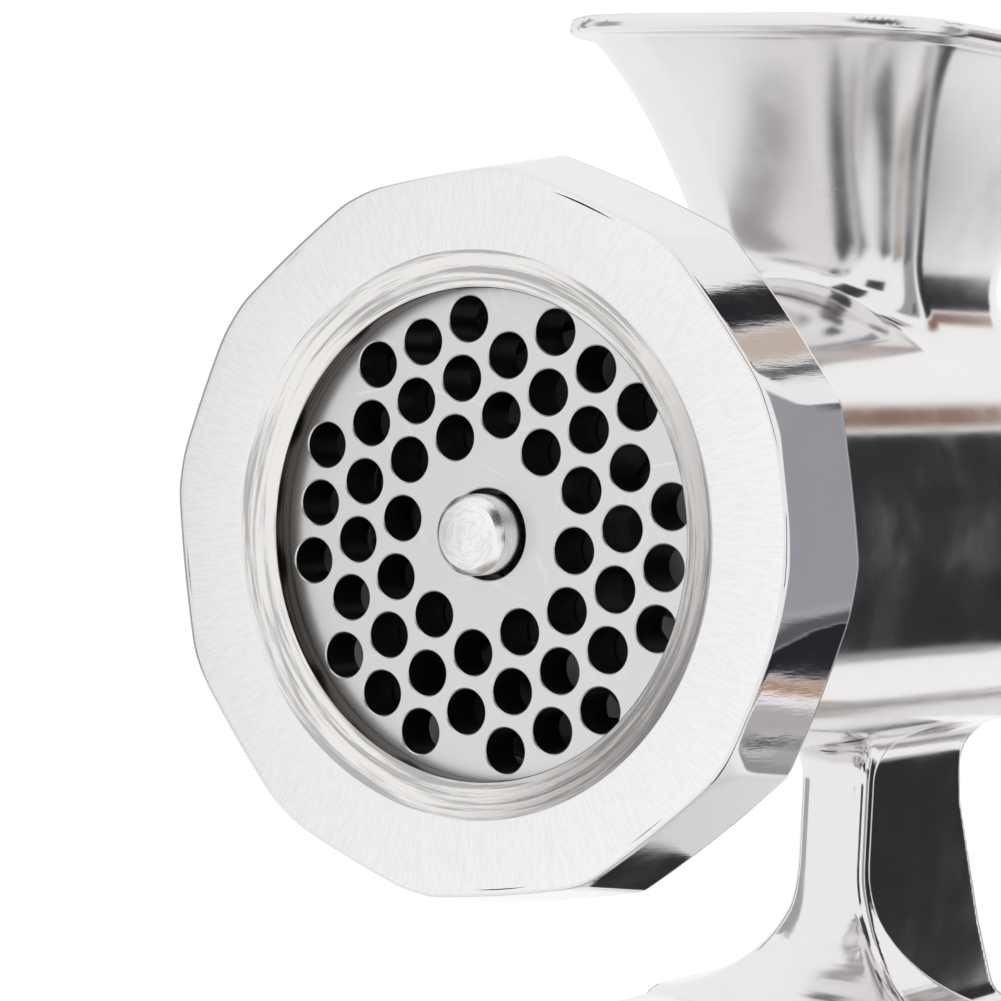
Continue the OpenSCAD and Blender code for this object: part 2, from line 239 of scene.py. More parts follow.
@dataclass(frozen=True)
class Finish:
    """A finish: a Principled shader whose colour, roughness and normals vary over the surface."""

    name: str
    colour: Colour
    rough: float
    metallic: float = 1.0
    coat: float = 0.0

    def material(self) -> bpy.types.Material:
        """Returns the finish as a material, made once.

        Returns:
            The material.
        """
        known = bpy.data.materials.get(self.name)
        if known is not None:
            return known
        made = bpy.data.materials.new(self.name)
        made.use_nodes = True
        bench = Bench(made.node_tree)
        colour, rough, normal = self.surface(bench)
        inputs = {"Base Color": colour, "Roughness": rough, "Metallic": self.metallic,
                  "Coat Weight": self.coat}
        if normal is not None:
            inputs["Normal"] = normal
        shader = bench.node("ShaderNodeBsdfPrincipled", inputs=inputs)
        bench.show(shader, "ShaderNodeOutputMaterial")
        made.diffuse_color = (*self.colour, 1.0)
        return made

    def tone(self, share: float) -> Colour:
        """Returns the colour, made darker or lighter."""
        return tuple(min(1.0, share * c) for c in self.colour)

    def surface(self, bench: Bench) -> Surface:
        """Returns the colour, the roughness and the normals."""
        return (*self.colour, 1.0), self.rough, None


@dataclass(frozen=True)
class HandPolished(Finish):
    """Polished cast metal: soft waves, hazy patches, hairlines, rough where no wheel reaches, and a rough
    bore darkened with painted shade.
    """

    wave_mm: float = 0.10
    waves_per_m: float = 55.0
    haze_per_m: float = 70.0
    # hairlines run along Y, so they are closest along Z
    lines_per_m: tuple[float, float, float] = (900.0, 260.0, 2600.0)
    line_share: float = 0.012
    # the inside of the barrel is rough as it was cast, and its grey colours are darkened as painted shade
    grain_per_m: float = 900.0
    bore_cast_and_shade: tuple[Colour, Colour] = ((0.30, 0.29, 0.28), (0.42, 0.41, 0.40))
    dull_rough: float = 0.35
    bore_mm: float = 26.6
    bore_start_mm: float = 5.6
    bore_end_mm: float = 111.0
    # heights between which the polish grows hazier, where a wheel hardly reaches
    flare_mm: tuple[float, float] = (92.0, 108.0)

    def surface(self, bench: Bench) -> Surface:
        """Adds the waves, the haze, the hairlines and the rough bore, whose darker colour is painted shade.

        Args:
            bench: the material's bench.

        Returns:
            The colour, the roughness and the normals.
        """
        place = bench.place()
        x, y, z = bench.parts(place)
        waves = bench.noise(place, self.waves_per_m, 2.0, 0.45)
        haze = bench.noise(place, self.haze_per_m, 4.0, 0.6)
        lines = bench.noise(bench.scaled(place, self.lines_per_m), 1.0, 3.0, 0.6)
        cast = bench.noise(place, self.grain_per_m, 3.0, 0.65)
        up = z - OUTLET[2] * MM
        radius = bench.span(x, up)
        back = y - OUTLET[1] * MM
        inside = (radius.ramp(self.bore_mm * MM, (self.bore_mm - 0.8) * MM)
                  * back.ramp((self.bore_start_mm - 0.4) * MM, self.bore_start_mm * MM)
                  * back.ramp(self.bore_end_mm * MM, (self.bore_end_mm - 1.0) * MM))
        # painted shade: inside the bore the colour turns dark grey, partly as-cast metal and partly shade
        bore_cast_and_shade = bench.blend(haze, *self.bore_cast_and_shade)
        bright = bench.blend(haze.ramp(0.3, 0.8), self.tone(0.95), self.colour)
        colour = bench.blend(inside, bright, bore_cast_and_shade)
        flare = z.ramp(self.flare_mm[0] * MM, self.flare_mm[1] * MM)
        shine = self.rough + 0.08 * haze.ramp(0.4, 0.75) + 0.06 * (lines - 0.5).most(0.0) + 0.10 * flare
        rough = shine + inside * self.dull_rough
        height = 0.82 * waves + self.line_share * lines + 0.02 * haze + inside * (cast * 0.5)
        return colour, rough, bench.bump(height, self.wave_mm)


@dataclass(frozen=True)
class Faced(Finish):
    """Metal faced on a lathe: fine ripple that runs out from the barrel axis, over faint rings."""

    ripple_mm: float = 0.02
    ripples_per_m: float = 560.0
    # how closely the ripple stands round the axis, against its count along a radius
    round_share: float = 0.24
    rings_per_m: float = 3200.0
    blotches_per_m: float = 60.0

    def surface(self, bench: Bench) -> Surface:
        """Adds the ripple, the rings and the blotches.

        Args:
            bench: the material's bench.

        Returns:
            The colour, the roughness and the normals.
        """
        place = bench.place()
        x, _, z = bench.parts(place)
        up = z - OUTLET[2] * MM
        radius = bench.span(x, up)
        about = self.round_share * self.ripples_per_m
        ripple = bench.vector(x / radius * about, up / radius * about, radius * self.ripples_per_m)
        ray = bench.noise(ripple, 1.0, 2.0, 0.5, 0.5)
        ring = bench.vector(x / radius * 2.0, up / radius * 2.0, radius * self.rings_per_m)
        rings = bench.noise(ring, 1.0, 2.0, 0.5)
        blotch = bench.noise(place, self.blotches_per_m, 3.0, 0.5)
        colour = bench.blend(ray.ramp(0.35, 0.6), self.tone(0.94), self.colour)
        rough = self.rough + 0.12 * (ray - 0.5) + 0.06 * (blotch - 0.5)
        return colour, rough, bench.bump(0.6 * ray + 0.3 * rings + 0.1 * blotch, self.ripple_mm)


@dataclass(frozen=True)
class Turned(Finish):
    """Metal turned on a lathe: rings round an axis that is parallel to Y, X or Z."""

    axis: Axis = Axis.BARREL
    centre_mm: tuple[float, float] = (0.0, 69.0)
    groove_mm: float = 0.01
    rings_per_m: float = 2400.0
    # how dark the deepest rings are, against the colour
    contrast: float = 0.86

    def surface(self, bench: Bench) -> Surface:
        """Adds fine and broad rings round the axis.

        Args:
            bench: the material's bench.

        Returns:
            The colour, the roughness and the normals.
        """
        place = bench.place()
        parts = bench.parts(place)
        first, second, along = (parts[k] for k in self.axis.value)
        first = first - self.centre_mm[0] * MM
        second = second - self.centre_mm[1] * MM
        radius = bench.span(first, second)
        count = radius * self.rings_per_m + along * self.rings_per_m * 0.9
        # on the axis itself a direction can't be told
        safe = radius.most(0.2 * MM)
        fine = bench.vector(first / safe * 1.6, second / safe * 1.6, count)
        rings = bench.noise(fine, 1.0, 4.0, 0.65)
        coarse = bench.vector(first / safe * 0.8, second / safe * 0.8, count * 0.22)
        broad = bench.noise(coarse, 1.0, 2.0, 0.5)
        depth = (0.3 * broad + 0.7 * rings).ramp(0.42, 0.54)
        colour = bench.blend(depth, self.tone(self.contrast), self.colour)
        rough = self.rough + 0.18 * (rings - 0.5)
        return colour, rough, bench.bump(0.6 * rings + 0.4 * broad, self.groove_mm)


@dataclass(frozen=True)
class Ground(Finish):
    """Steel ground flat: fine lines one way, and stray scratches in every direction."""

    line_mm: float = 0.006
    turn_deg: float = 35.0
    lines_per_m: float = 4200.0
    # each set of stray scratches: its direction in degrees, and how bright it is
    strays: tuple[tuple[float, float], ...] = ((12.0, 0.30), (67.0, 0.22), (118.0, 0.26), (160.0, 0.20))
    strays_per_m: float = 2600.0

    def surface(self, bench: Bench) -> Surface:
        """Adds the lines of the grinding and the stray scratches.

        Args:
            bench: the material's bench.

        Returns:
            The colour, the roughness and the normals.
        """
        place = bench.place()
        ground = bench.spun(place, self.turn_deg)
        lines = bench.noise(bench.scaled(ground, (90.0, 90.0, self.lines_per_m)), 1.0, 3.0, 0.65)
        height = 0.55 * lines
        marks: Value = 0.0
        for degrees, weight in self.strays:
            angled = bench.spun(place, degrees, (0.01 * weight, 0.0, 0.013))
            scratches = bench.scaled(angled, (60.0, 60.0, self.strays_per_m))
            stray = bench.noise(scratches, 1.0, 1.0).ramp(0.66, 0.74)
            # the scratches come and go along their length
            gate = bench.noise(bench.scaled(angled, (150.0, 150.0, 150.0)), 1.0, 1.0).ramp(0.5, 0.62)
            marks = marks + stray * gate * weight
        colour = bench.blend(lines, self.tone(0.88), self.colour)
        colour = bench.blend(marks.clamped(), colour, self.tone(1.25))
        rough = self.rough + 0.15 * (lines - 0.5) - 0.08 * marks
        return colour, rough, bench.bump(height - 0.7 * marks, self.line_mm)


@dataclass(frozen=True)
class Tumbled(Finish):
    """A casting with its grain still on it."""

    grain_mm: float = 0.05
    grain_per_m: float = 700.0
    patches_per_m: float = 90.0
    pits_per_m: float = 420.0

    def surface(self, bench: Bench) -> Surface:
        """Adds the grain, the patches and the pits.

        Args:
            bench: the material's bench.

        Returns:
            The colour, the roughness and the normals.
        """
        place = bench.place()
        grain = bench.noise(place, self.grain_per_m, 4.0, 0.6)
        patch = bench.noise(place, self.patches_per_m, 3.0, 0.5)
        pits = bench.cells(place, self.pits_per_m).ramp(0.25, 0.05)
        colour = bench.blend(patch, self.tone(0.8), self.colour)
        rough = self.rough + 0.12 * (grain - 0.5) + 0.08 * (patch - 0.5)
        return colour, rough, bench.bump(0.6 * grain + 0.3 * patch - 0.3 * pits, self.grain_mm)


@dataclass(frozen=True)
class Varnished(Finish):
    """Turned hardwood under varnish, with the grain along Y."""

    dark: Colour = (0.20, 0.085, 0.03)
    rings_per_m: float = 95.0
    pores_per_m: float = 2600.0
    pore_mm: float = 0.04

    def surface(self, bench: Bench) -> Surface:
        """Adds the growth rings, the pores and the patches.

        Args:
            bench: the material's bench.

        Returns:
            The colour, the roughness and the normals.
        """
        place = bench.place()
        bend = bench.noise(bench.scaled(place, (18.0, 5.0, 18.0)), 1.0, 2.0, 0.5)
        bent = bench.node("ShaderNodeVectorMath", {"operation": "ADD"},
                          {0: bench.scaled(place, (1.0, 0.06, 1.0)),
                           1: bench.vector(bend * 0.012, 0.0, bend * 0.02)})
        rings = bench.node("ShaderNodeTexWave", {"wave_type": "BANDS", "bands_direction": "X"},
                           {"Vector": bent, "Scale": self.rings_per_m, "Distortion": 3.5, "Detail": 3.0,
                            "Detail Scale": 1.5}, 1)
        across = bench.scaled(place, (self.pores_per_m, 120.0, self.pores_per_m))
        pores = bench.noise(across, 1.0, 3.0, 0.7).ramp(0.6, 0.75)
        patch = bench.noise(place, 30.0, 2.0, 0.5)
        colour = bench.blend(rings * 0.75 + patch * 0.25, self.colour, self.dark)
        colour = bench.blend(pores * 0.6, colour, tuple(0.5 * c for c in self.dark))
        return colour, self.rough + 0.1 * pores, bench.bump(0.7 - pores * 0.7 + 0.1 * patch, self.pore_mm)


@dataclass(frozen=True)
class Moulded(Finish):
    """Rubber or plastic from a mould: fine grain, and dust in patches."""

    grain_mm: float = 0.04
    grain_per_m: float = 1800.0
    dust: Colour = (0.16, 0.155, 0.15)

    def surface(self, bench: Bench) -> Surface:
        """Adds the grain and the dust.

        Args:
            bench: the material's bench.

        Returns:
            The colour, the roughness and the normals.
        """
        place = bench.place()
        grain = bench.noise(place, self.grain_per_m, 3.0, 0.6)
        patch = bench.noise(place, 130.0, 4.0, 0.6)
        colour = bench.blend(patch.ramp(0.5, 0.9) * 0.35, self.colour, self.dust)
        return colour, self.rough + 0.12 * (patch - 0.5), bench.bump(grain, self.grain_mm)


CASTING = HandPolished("hand_polished_casting", (0.86, 0.845, 0.845), 0.10, wave_mm=0.045)
RING_SIDE = HandPolished("ring_polished_side", (0.84, 0.825, 0.825), 0.05, wave_mm=0.07, line_share=0.05,
                         bore_mm=0.0, flare_mm=(200.0, 210.0))
RING_FACE = Faced("ring_faced_front", (0.97, 0.96, 0.96), 0.34)
RING_DISH = Turned("ring_turned_dish", (0.86, 0.84, 0.825), 0.28, groove_mm=0.10, rings_per_m=2600.0,
                   contrast=0.55)
# the lip's bore wall is made near black: partly an oily stain, partly painted shade where the wall stands in
# shadow
RING_BORE = Turned("ring_bore_stain_and_painted_shade", (0.10, 0.088, 0.075), 0.36, groove_mm=0.03, rings_per_m=3000.0,
                   contrast=0.4)
PLATE = Ground("ground_plate_steel", (0.80, 0.795, 0.80), 0.34)
# painted shade: the drilled hole walls are made near black, as the insides of the holes lie in shade
HOLE_WALL = Turned("drilled_hole_wall_painted_shade", (0.16, 0.15, 0.14), 0.40, groove_mm=0.01)
PIN = Turned("turned_pin_steel", (0.93, 0.92, 0.91), 0.26, groove_mm=0.012, rings_per_m=3200.0)
SCREW = Tumbled("tumbled_screw_casting", (0.52, 0.52, 0.52), 0.42)
# painted shade: the knife's steel is made near black, since it sits in shade behind the plate
KNIFE = Ground("ground_knife_painted_shade", (0.06, 0.06, 0.065), 0.34, turn_deg=80.0)
BRONZE = Turned("turned_bronze_bush", (0.62, 0.39, 0.18), 0.28)
NYLON = Moulded("nylon_washer", (0.72, 0.69, 0.62), 0.45, metallic=0.0, dust=(0.55, 0.52, 0.46))
RUBBER = Moulded("black_rubber", (0.022, 0.022, 0.022), 0.62, metallic=0.0)
WOOD = Varnished("varnished_beech", (0.50, 0.26, 0.10), 0.30, metallic=0.0, coat=0.6)


def plated(name: str, axis: Axis, centre_mm: tuple[float, float]) -> Turned:
    """Returns bright plated steel that was turned round one axis.

    Args:
        name: the finish's name.
        axis: the axis that the rings run round.
        centre_mm: where that axis lies, in the two other directions.

    Returns:
        The finish.
    """
    return Turned(name, (0.80, 0.80, 0.81), 0.13, axis=axis, centre_mm=centre_mm, groove_mm=0.006)


# ---------------------------------------------------------------- meshes

def placed(name: str, data: bpy.types.ID) -> bpy.types.Object:
    """Adds an object to the scene.

    Args:
        name: its name.
        data: its mesh, camera or light.

    Returns:
        The object.
    """
    made = bpy.data.objects.new(name, data)
    bpy.context.scene.collection.objects.link(made)
    return made


@dataclass
class Shape:
    """A mesh in the making: points in millimetres in the row frame, and faces by index."""

    points: np.ndarray
    faces: Union[np.ndarray, list[tuple[int, ...]]]
    finish_of_face: Optional[np.ndarray] = None
    normals: Optional[np.ndarray] = None

    def joined(self, other: "Shape") -> "Shape":
        """Joins two shapes to one mesh.

        Args:
            other: the shape that is added.

        Returns:
            The joined shape.
        """
        start = len(self.points)
        faces = [tuple(f) for f in self.faces] + [tuple(int(i) + start for i in f) for f in other.faces]
        marks = [s.finish_of_face if s.finish_of_face is not None else np.zeros(len(s.faces), int)
                 for s in (self, other)]
        return Shape(np.vstack([self.points, other.points]), faces, np.concatenate(marks))

    def build(self, name: str, sharp_deg: float = 40.0) -> bpy.types.Object:
        """Makes the Blender object.

        Args:
            name: the object's name.
            sharp_deg: edges that turn by more than this stay sharp.

        Returns:
            The new object, linked to the scene.
        """
        mesh = bpy.data.meshes.new(name)
        faces = self.faces.tolist() if isinstance(self.faces, np.ndarray) else self.faces
        mesh.from_pydata((self.points * MM).tolist(), [], faces)
        if self.finish_of_face is not None:
            mesh.polygons.foreach_set("material_index", np.asarray(self.finish_of_face, np.int32))
        if self.normals is None:
            self._clean(mesh)
            mesh.shade_smooth()
            mesh.set_sharp_from_angle(angle=math.radians(sharp_deg))
        else:
            mesh.shade_smooth()
            mesh.normals_split_custom_set_from_vertices(self.normals.tolist())
        return placed(name, mesh)

    @staticmethod
    def _clean(mesh: bpy.types.Mesh) -> None:
        """Merges points that coincide and turns every face outwards.

        Args:
            mesh: the mesh, which is changed.
        """
        work = bmesh.new()
        work.from_mesh(mesh)
        bmesh.ops.remove_doubles(work, verts=work.verts, dist=2e-6)
        bmesh.ops.dissolve_degenerate(work, edges=work.edges, dist=1e-7)
        bmesh.ops.recalc_face_normals(work, faces=work.faces)
        work.to_mesh(mesh)
        work.free()


Profile = Sequence[tuple[float, float]]
Line = list[tuple[float, float]]


def rounded(profile: Profile, radius: float, steps: int = 3, closed: bool = False) -> Line:
    """Rounds the corners of a profile.

    Args:
        profile: points of radius and distance along the axis.
        radius: the corner radius, less where an edge is short.
        steps: segments in each corner.
        closed: whether the last point joins the first.

    Returns:
        The new points.
    """
    shortest, straight, most_of_edge = 1e-6, math.radians(84), 0.45
    points = [np.array(p, float) for p in profile]
    count = len(points)
    out: Line = []
    for k, here in enumerate(points):
        if not closed and k in (0, count - 1):
            out.append(tuple(here))
            continue
        before, after = points[k - 1] - here, points[(k + 1) % count] - here
        short = min(np.linalg.norm(before), np.linalg.norm(after))
        if short < shortest:
            continue
        first, second = before / np.linalg.norm(before), after / np.linalg.norm(after)
        half = math.acos(max(-1.0, min(1.0, float(first @ second)))) / 2
        if half > straight:
            out.append(tuple(here))
            continue
        cut = min(radius / math.tan(half), most_of_edge * short)
        start, end = here + first * cut, here + second * cut
        for s in range(steps + 1):
            t = s / steps
            out.append(tuple((1 - t) ** 2 * start + 2 * t * (1 - t) * here + t ** 2 * end))
    return out


def swept(sections: np.ndarray, axis: Axis, origin: Sequence[float], closed: bool = False,
          wrap: bool = True, marks: Optional[Sequence[int]] = None) -> Shape:
    """Makes a round solid from one section for each angle.

    Args:
        sections: radius and distance along the axis, by angle and by point.
        axis: the direction to turn round.
        origin: a point on the axis, in millimetres.
        closed: whether each section is a closed loop.
        wrap: whether the last angle joins the first; otherwise it lies on it.
        marks: a finish number for each span of the section.

    Returns:
        The shape.
    """
    across, upward, along = np.eye(3)[list(axis.value)]
    turns, count = sections.shape[:2]
    angles = np.arange(turns) * 2 * math.pi / (turns if wrap else turns - 1)
    direction = np.cos(angles)[:, None] * across + np.sin(angles)[:, None] * upward
    points = (np.asarray(origin, float) + sections[:, :, 0, None] * direction[:, None, :]
              + sections[:, :, 1, None] * along)
    spans = count if closed else count - 1
    i, j = np.meshgrid(np.arange(turns if wrap else turns - 1), np.arange(spans), indexing="ij")
    i2, j2 = (i + 1) % turns, (j + 1) % count
    faces = np.stack([i * count + j, i2 * count + j, i2 * count + j2, i * count + j2], -1).reshape(-1, 4)
    numbers = None if marks is None else np.asarray(marks, int)[j].reshape(-1)
    return Shape(points.reshape(-1, 3), faces, numbers)


def turned(profile: Profile, axis: Axis, origin: Sequence[float], turns: int = 96,
           closed: bool = False) -> Shape:
    """Turns one profile round an axis.

    Args:
        profile: points of radius and distance along the axis.
        axis: the direction to turn round.
        origin: a point on the axis, in millimetres.
        turns: segments round the axis.
        closed: whether the profile is a closed loop.

    Returns:
        The shape.
    """
    section = np.array(profile, float)
    return swept(np.repeat(section[None], turns, 0), axis, origin, closed)


def washer(size: Sequence[float], edge: float, axis: Axis, origin: Sequence[float]) -> Shape:
    """Turns a flat ring with rounded edges.

    Args:
        size: its inner and outer radius, and where it starts and ends along the axis.
        edge: the radius of its edges.
        axis: the direction to turn round.
        origin: a point on the axis, in millimetres.

    Returns:
        The shape.
    """
    inner, outer, start, end = size
    profile = [(inner, start), (outer, start), (outer, end), (inner, end)]
    return turned(rounded(profile, edge, closed=True), axis, origin, closed=True)


def threaded(crest: Profile, pitch: float, start: float, end: float, root: float, lead: float,
             turns: int = 64) -> np.ndarray:
    """Works out the sections of a screw whose thread fades out at both ends.

    Args:
        crest: points of radius and share of the pitch, along one pitch.
        pitch: the distance for one turn.
        start: where the thread starts along the axis.
        end: where it ends.
        root: the radius at both ends.
        lead: the distance over which the thread rises from the root.
        turns: segments round the axis.

    Returns:
        Radius and distance along the axis, by angle and by point, with the first angle repeated at the end.
    """
    radius = np.array([p[0] for p in crest])
    share = np.array([p[1] for p in crest])
    count = int(math.ceil((end - start) / pitch)) + 2
    along = ((np.arange(count)[:, None] - 1 + share) * pitch).reshape(-1) + start
    height = np.tile(radius, count)
    sections = np.zeros((turns + 1, len(along), 2))
    for k in range(turns + 1):
        raw = along + pitch * k / turns
        place = np.clip(raw, start, end)
        fade = np.clip((place - start) / lead, 0, 1) * np.clip((end - place) / lead, 0, 1)
        fade = fade * fade * (3 - 2 * fade)
        sections[k, :, 0] = root + (height - root) * fade
        sections[k, :, 1] = place
    return sections


# ---------------------------------------------------------------- blended solids

Field = np.ndarray


def polygon_field(u: Field, v: Field, outline: Profile) -> Field:
    """Returns the signed distance to a closed outline, negative inside.

    Args:
        u: first coordinates.
        v: second coordinates.
        outline: the outline's points.

    Returns:
        The distances.
    """
    tiny, far = 1e-12, 1e12
    points = np.array(outline, float)
    following = np.roll(points, -1, 0)
    u, v = np.broadcast_arrays(u, v)
    nearest = np.full(u.shape, far)
    inside = np.zeros(u.shape, bool)
    for (au, av), (bu, bv) in zip(points, following):
        eu, ev = bu - au, bv - av
        size = eu * eu + ev * ev
        if size < tiny:
            continue
        wu, wv = u - au, v - av
        t = np.clip((wu * eu + wv * ev) / size, 0.0, 1.0)
        nearest = np.minimum(nearest, (wu - eu * t) ** 2 + (wv - ev * t) ** 2)
        crosses = (av > v) != (bv > v)
        if abs(ev) > tiny:
            inside ^= crosses & (wu < wv * eu / ev)
    return np.where(inside, -1.0, 1.0) * np.sqrt(nearest)


def soft_join(a: Field, b: Field, k: float) -> Field:
    """Returns the union of two solids with a fillet of about k."""
    h = np.clip(0.5 + 0.5 * (b - a) / k, 0.0, 1.0)
    return b + (a - b) * h - k * h * (1.0 - h)


def soft_meet(a: Field, b: Field, k: float) -> Field:
    """Returns what two solids share, with its edges rounded by about k."""
    return -soft_join(-a, -b, k)


def arc(centre: Sequence[float], radius: float, start: float, end: float, steps: int = 8) -> Line:
    """Returns points along an arc, with its angles in degrees."""
    angles = np.radians(np.linspace(start, end, steps + 1))
    return [(centre[0] + radius * math.cos(a), centre[1] + radius * math.sin(a)) for a in angles]


def rounded_box(out: Field, up: Field) -> Field:
    """Returns the distance to a box's corner, by the distances past its two sides."""
    return np.hypot(np.maximum(out, 0), np.maximum(up, 0)) + np.minimum(np.maximum(out, up), 0)


class Blended:
    """A solid given by a field of distances in the outlet frame, meshed where the field is zero."""

    low: tuple[float, float, float]
    high: tuple[float, float, float]
    cell: float
    # how far from a point its slope is probed, in millimetres
    probe: float = 0.04
    # the most that a point moves in a round, in cells, and how far it slides towards its neighbours' middle
    stride: float = 0.7
    slide: float = 0.6
    # how often the points are drawn onto the surface
    rounds: int = 4
    # the least slope and length to divide by
    least_slope: float = 0.05
    least_length: float = 1e-9

    def field(self, x: Field, d: Field, h: Field) -> Field:
        """Returns the signed distance in millimetres, negative inside."""
        raise NotImplementedError

    def _slopes(self, points: np.ndarray) -> tuple[np.ndarray, np.ndarray]:
        """Works out the field and its gradient.

        Args:
            points: places in the outlet frame.

        Returns:
            The value at each point, and the gradient.
        """
        corners = np.array([[1, 1, 1], [1, -1, -1], [-1, 1, -1], [-1, -1, 1]], float)
        value = np.zeros(len(points))
        slope = np.zeros_like(points)
        for corner in corners:
            at = points + corner * self.probe
            here = self.field(at[:, 0], at[:, 1], at[:, 2])
            value += here / 4
            slope += here[:, None] * corner / (4 * self.probe)
        return value, slope

    def shape(self) -> Shape:
        """Meshes the solid.

        Returns:
            The shape, with exact normals.
        """
        axes = [np.arange(lo, hi + self.cell, self.cell) for lo, hi in zip(self.low, self.high)]
        x, d, h = np.meshgrid(*axes, indexing="ij", sparse=True)
        values = np.broadcast_to(self.field(x, d, h), tuple(len(a) for a in axes)).copy()
        points, faces = self._net(values, axes)
        for _ in range(self.rounds):
            points = self._evened(points, faces, self._unit(self._slopes(points)[1]))
            value, slope = self._slopes(points)
            size = np.maximum((slope ** 2).sum(1), self.least_slope)
            move = -(value / size)[:, None] * slope
            reach = np.linalg.norm(move, axis=1, keepdims=True)
            share = self.stride * self.cell / np.maximum(reach, self.least_length)
            points = points + move * np.minimum(1.0, share)
        return Shape(points + OUTLET, faces, None, self._unit(self._slopes(points)[1]))

    def _unit(self, slope: np.ndarray) -> np.ndarray:
        """Returns each slope with a length of 1."""
        return slope / np.maximum(np.linalg.norm(slope, axis=1, keepdims=True), self.least_length)

    def _evened(self, points: np.ndarray, faces: np.ndarray, normal: np.ndarray) -> np.ndarray:
        """Slides each point along the surface towards the middle of its neighbours, to even the faces.

        Args:
            points: the points.
            faces: the faces by index.
            normal: the solid's normal at each point.

        Returns:
            The points in their new places.
        """
        edges = np.vstack([faces[:, [k, (k + 1) % 4]] for k in range(4)])
        count = len(points)
        degree = np.maximum(np.bincount(edges.ravel(), minlength=count), 1)
        total = np.stack([np.bincount(edges[:, 0], points[edges[:, 1], k], count)
                          + np.bincount(edges[:, 1], points[edges[:, 0], k], count) for k in range(3)], 1)
        shift = total / degree[:, None] - points
        return points + self.slide * (shift - (shift * normal).sum(1)[:, None] * normal)

    @staticmethod
    def _net(values: np.ndarray, axes: Sequence[np.ndarray]) -> tuple[np.ndarray, np.ndarray]:
        """Places a point in each cell that the surface crosses, and joins them round each crossed edge.

        Args:
            values: the field at the corners of the cells.
            axes: the corners' coordinates along each axis.

        Returns:
            The points, and the faces by index.
        """
        cells = tuple(n - 1 for n in values.shape)
        total = np.zeros((*cells, 3))
        count = np.zeros(cells)
        crossings = []
        for axis in range(3):
            here = [slice(None)] * 3
            there = [slice(None)] * 3
            here[axis], there[axis] = slice(None, -1), slice(1, None)
            a, b = values[tuple(here)], values[tuple(there)]
            index = np.argwhere((a < 0) != (b < 0))
            first, second = a[tuple(index.T)], b[tuple(index.T)]
            share = first / (first - second)
            at = np.stack([axes[k][index[:, k]] for k in range(3)], 1).astype(float)
            at[:, axis] += share * (axes[axis][1] - axes[axis][0])
            others = [k for k in range(3) if k != axis]
            keep = np.all([(index[:, k] > 0) & (index[:, k] < values.shape[k] - 1) for k in others], axis=0)
            index, at, flip = index[keep], at[keep], (first < 0)[keep]
            ring = []
            for du, dv in ((-1, -1), (0, -1), (0, 0), (-1, 0)):
                cell = index.copy()
                cell[:, others[0]] += du
                cell[:, others[1]] += dv
                np.add.at(total, tuple(cell.T), at)
                np.add.at(count, tuple(cell.T), 1)
                ring.append(cell)
            crossings.append((ring, flip, axis))
        used = count > 0
        number = np.full(cells, -1)
        number[used] = np.arange(int(used.sum()))
        points = total[used] / count[used][:, None]
        faces = []
        for ring, flip, axis in crossings:
            quad = np.stack([number[tuple(cell.T)] for cell in ring], 1)
            turn = flip if axis != 1 else ~flip
            quad[~turn] = quad[~turn][:, ::-1]
            faces.append(quad)
        return points, np.vstack(faces)


def slab(value: Field, half: float) -> Field:
    """Returns the distance to a slab of that half thickness."""
    return np.abs(value) - half


def from_axis(x: Field, h: Field) -> Field:
    """Returns the distance from the barrel axis."""
    return np.sqrt(x * x + h * h)


# ---------------------------------------------------------------- fitting pieces to the frame

@dataclass
class Fitter:
    """Puts finished pieces on the frame and keeps count of them."""

    made: list[str] = field(default_factory=list)

    def fit(self, shape: Shape, name: str, body: str, finishes: Sequence[Finish],
            stands_for: Sequence[str] = (), sharp_deg: float = 40.0) -> None:
        """Builds a piece, dresses it and lets it ride on its body.

        Args:
            shape: the piece's mesh.
            name: the piece's name.
            body: the CAD body that it moves with.
            finishes: its finishes, in the order of the face numbers.
            stands_for: the CAD nodes that it replaces.
            sharp_deg: edges that turn by more than this stay sharp.
        """
        piece = shape.build(name, sharp_deg)
        for finish in finishes:
            piece.data.materials.append(finish.material())
        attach(piece, body)
        if stands_for:
            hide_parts(*stands_for)
        self.made.append(name)
        log.info("%s: %d faces on %s", name, len(piece.data.polygons), body)

    def dress(self, node: str, finish: Finish) -> None:
        """Gives a CAD node its finish.

        Args:
            node: the node's name.
            finish: the finish.
        """
        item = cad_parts[node]
        item.data.materials.clear()
        item.data.materials.append(finish.material())
        log.info("%s: carried over, %s", node, finish.name)


# ---------------------------------------------------------------- body casting

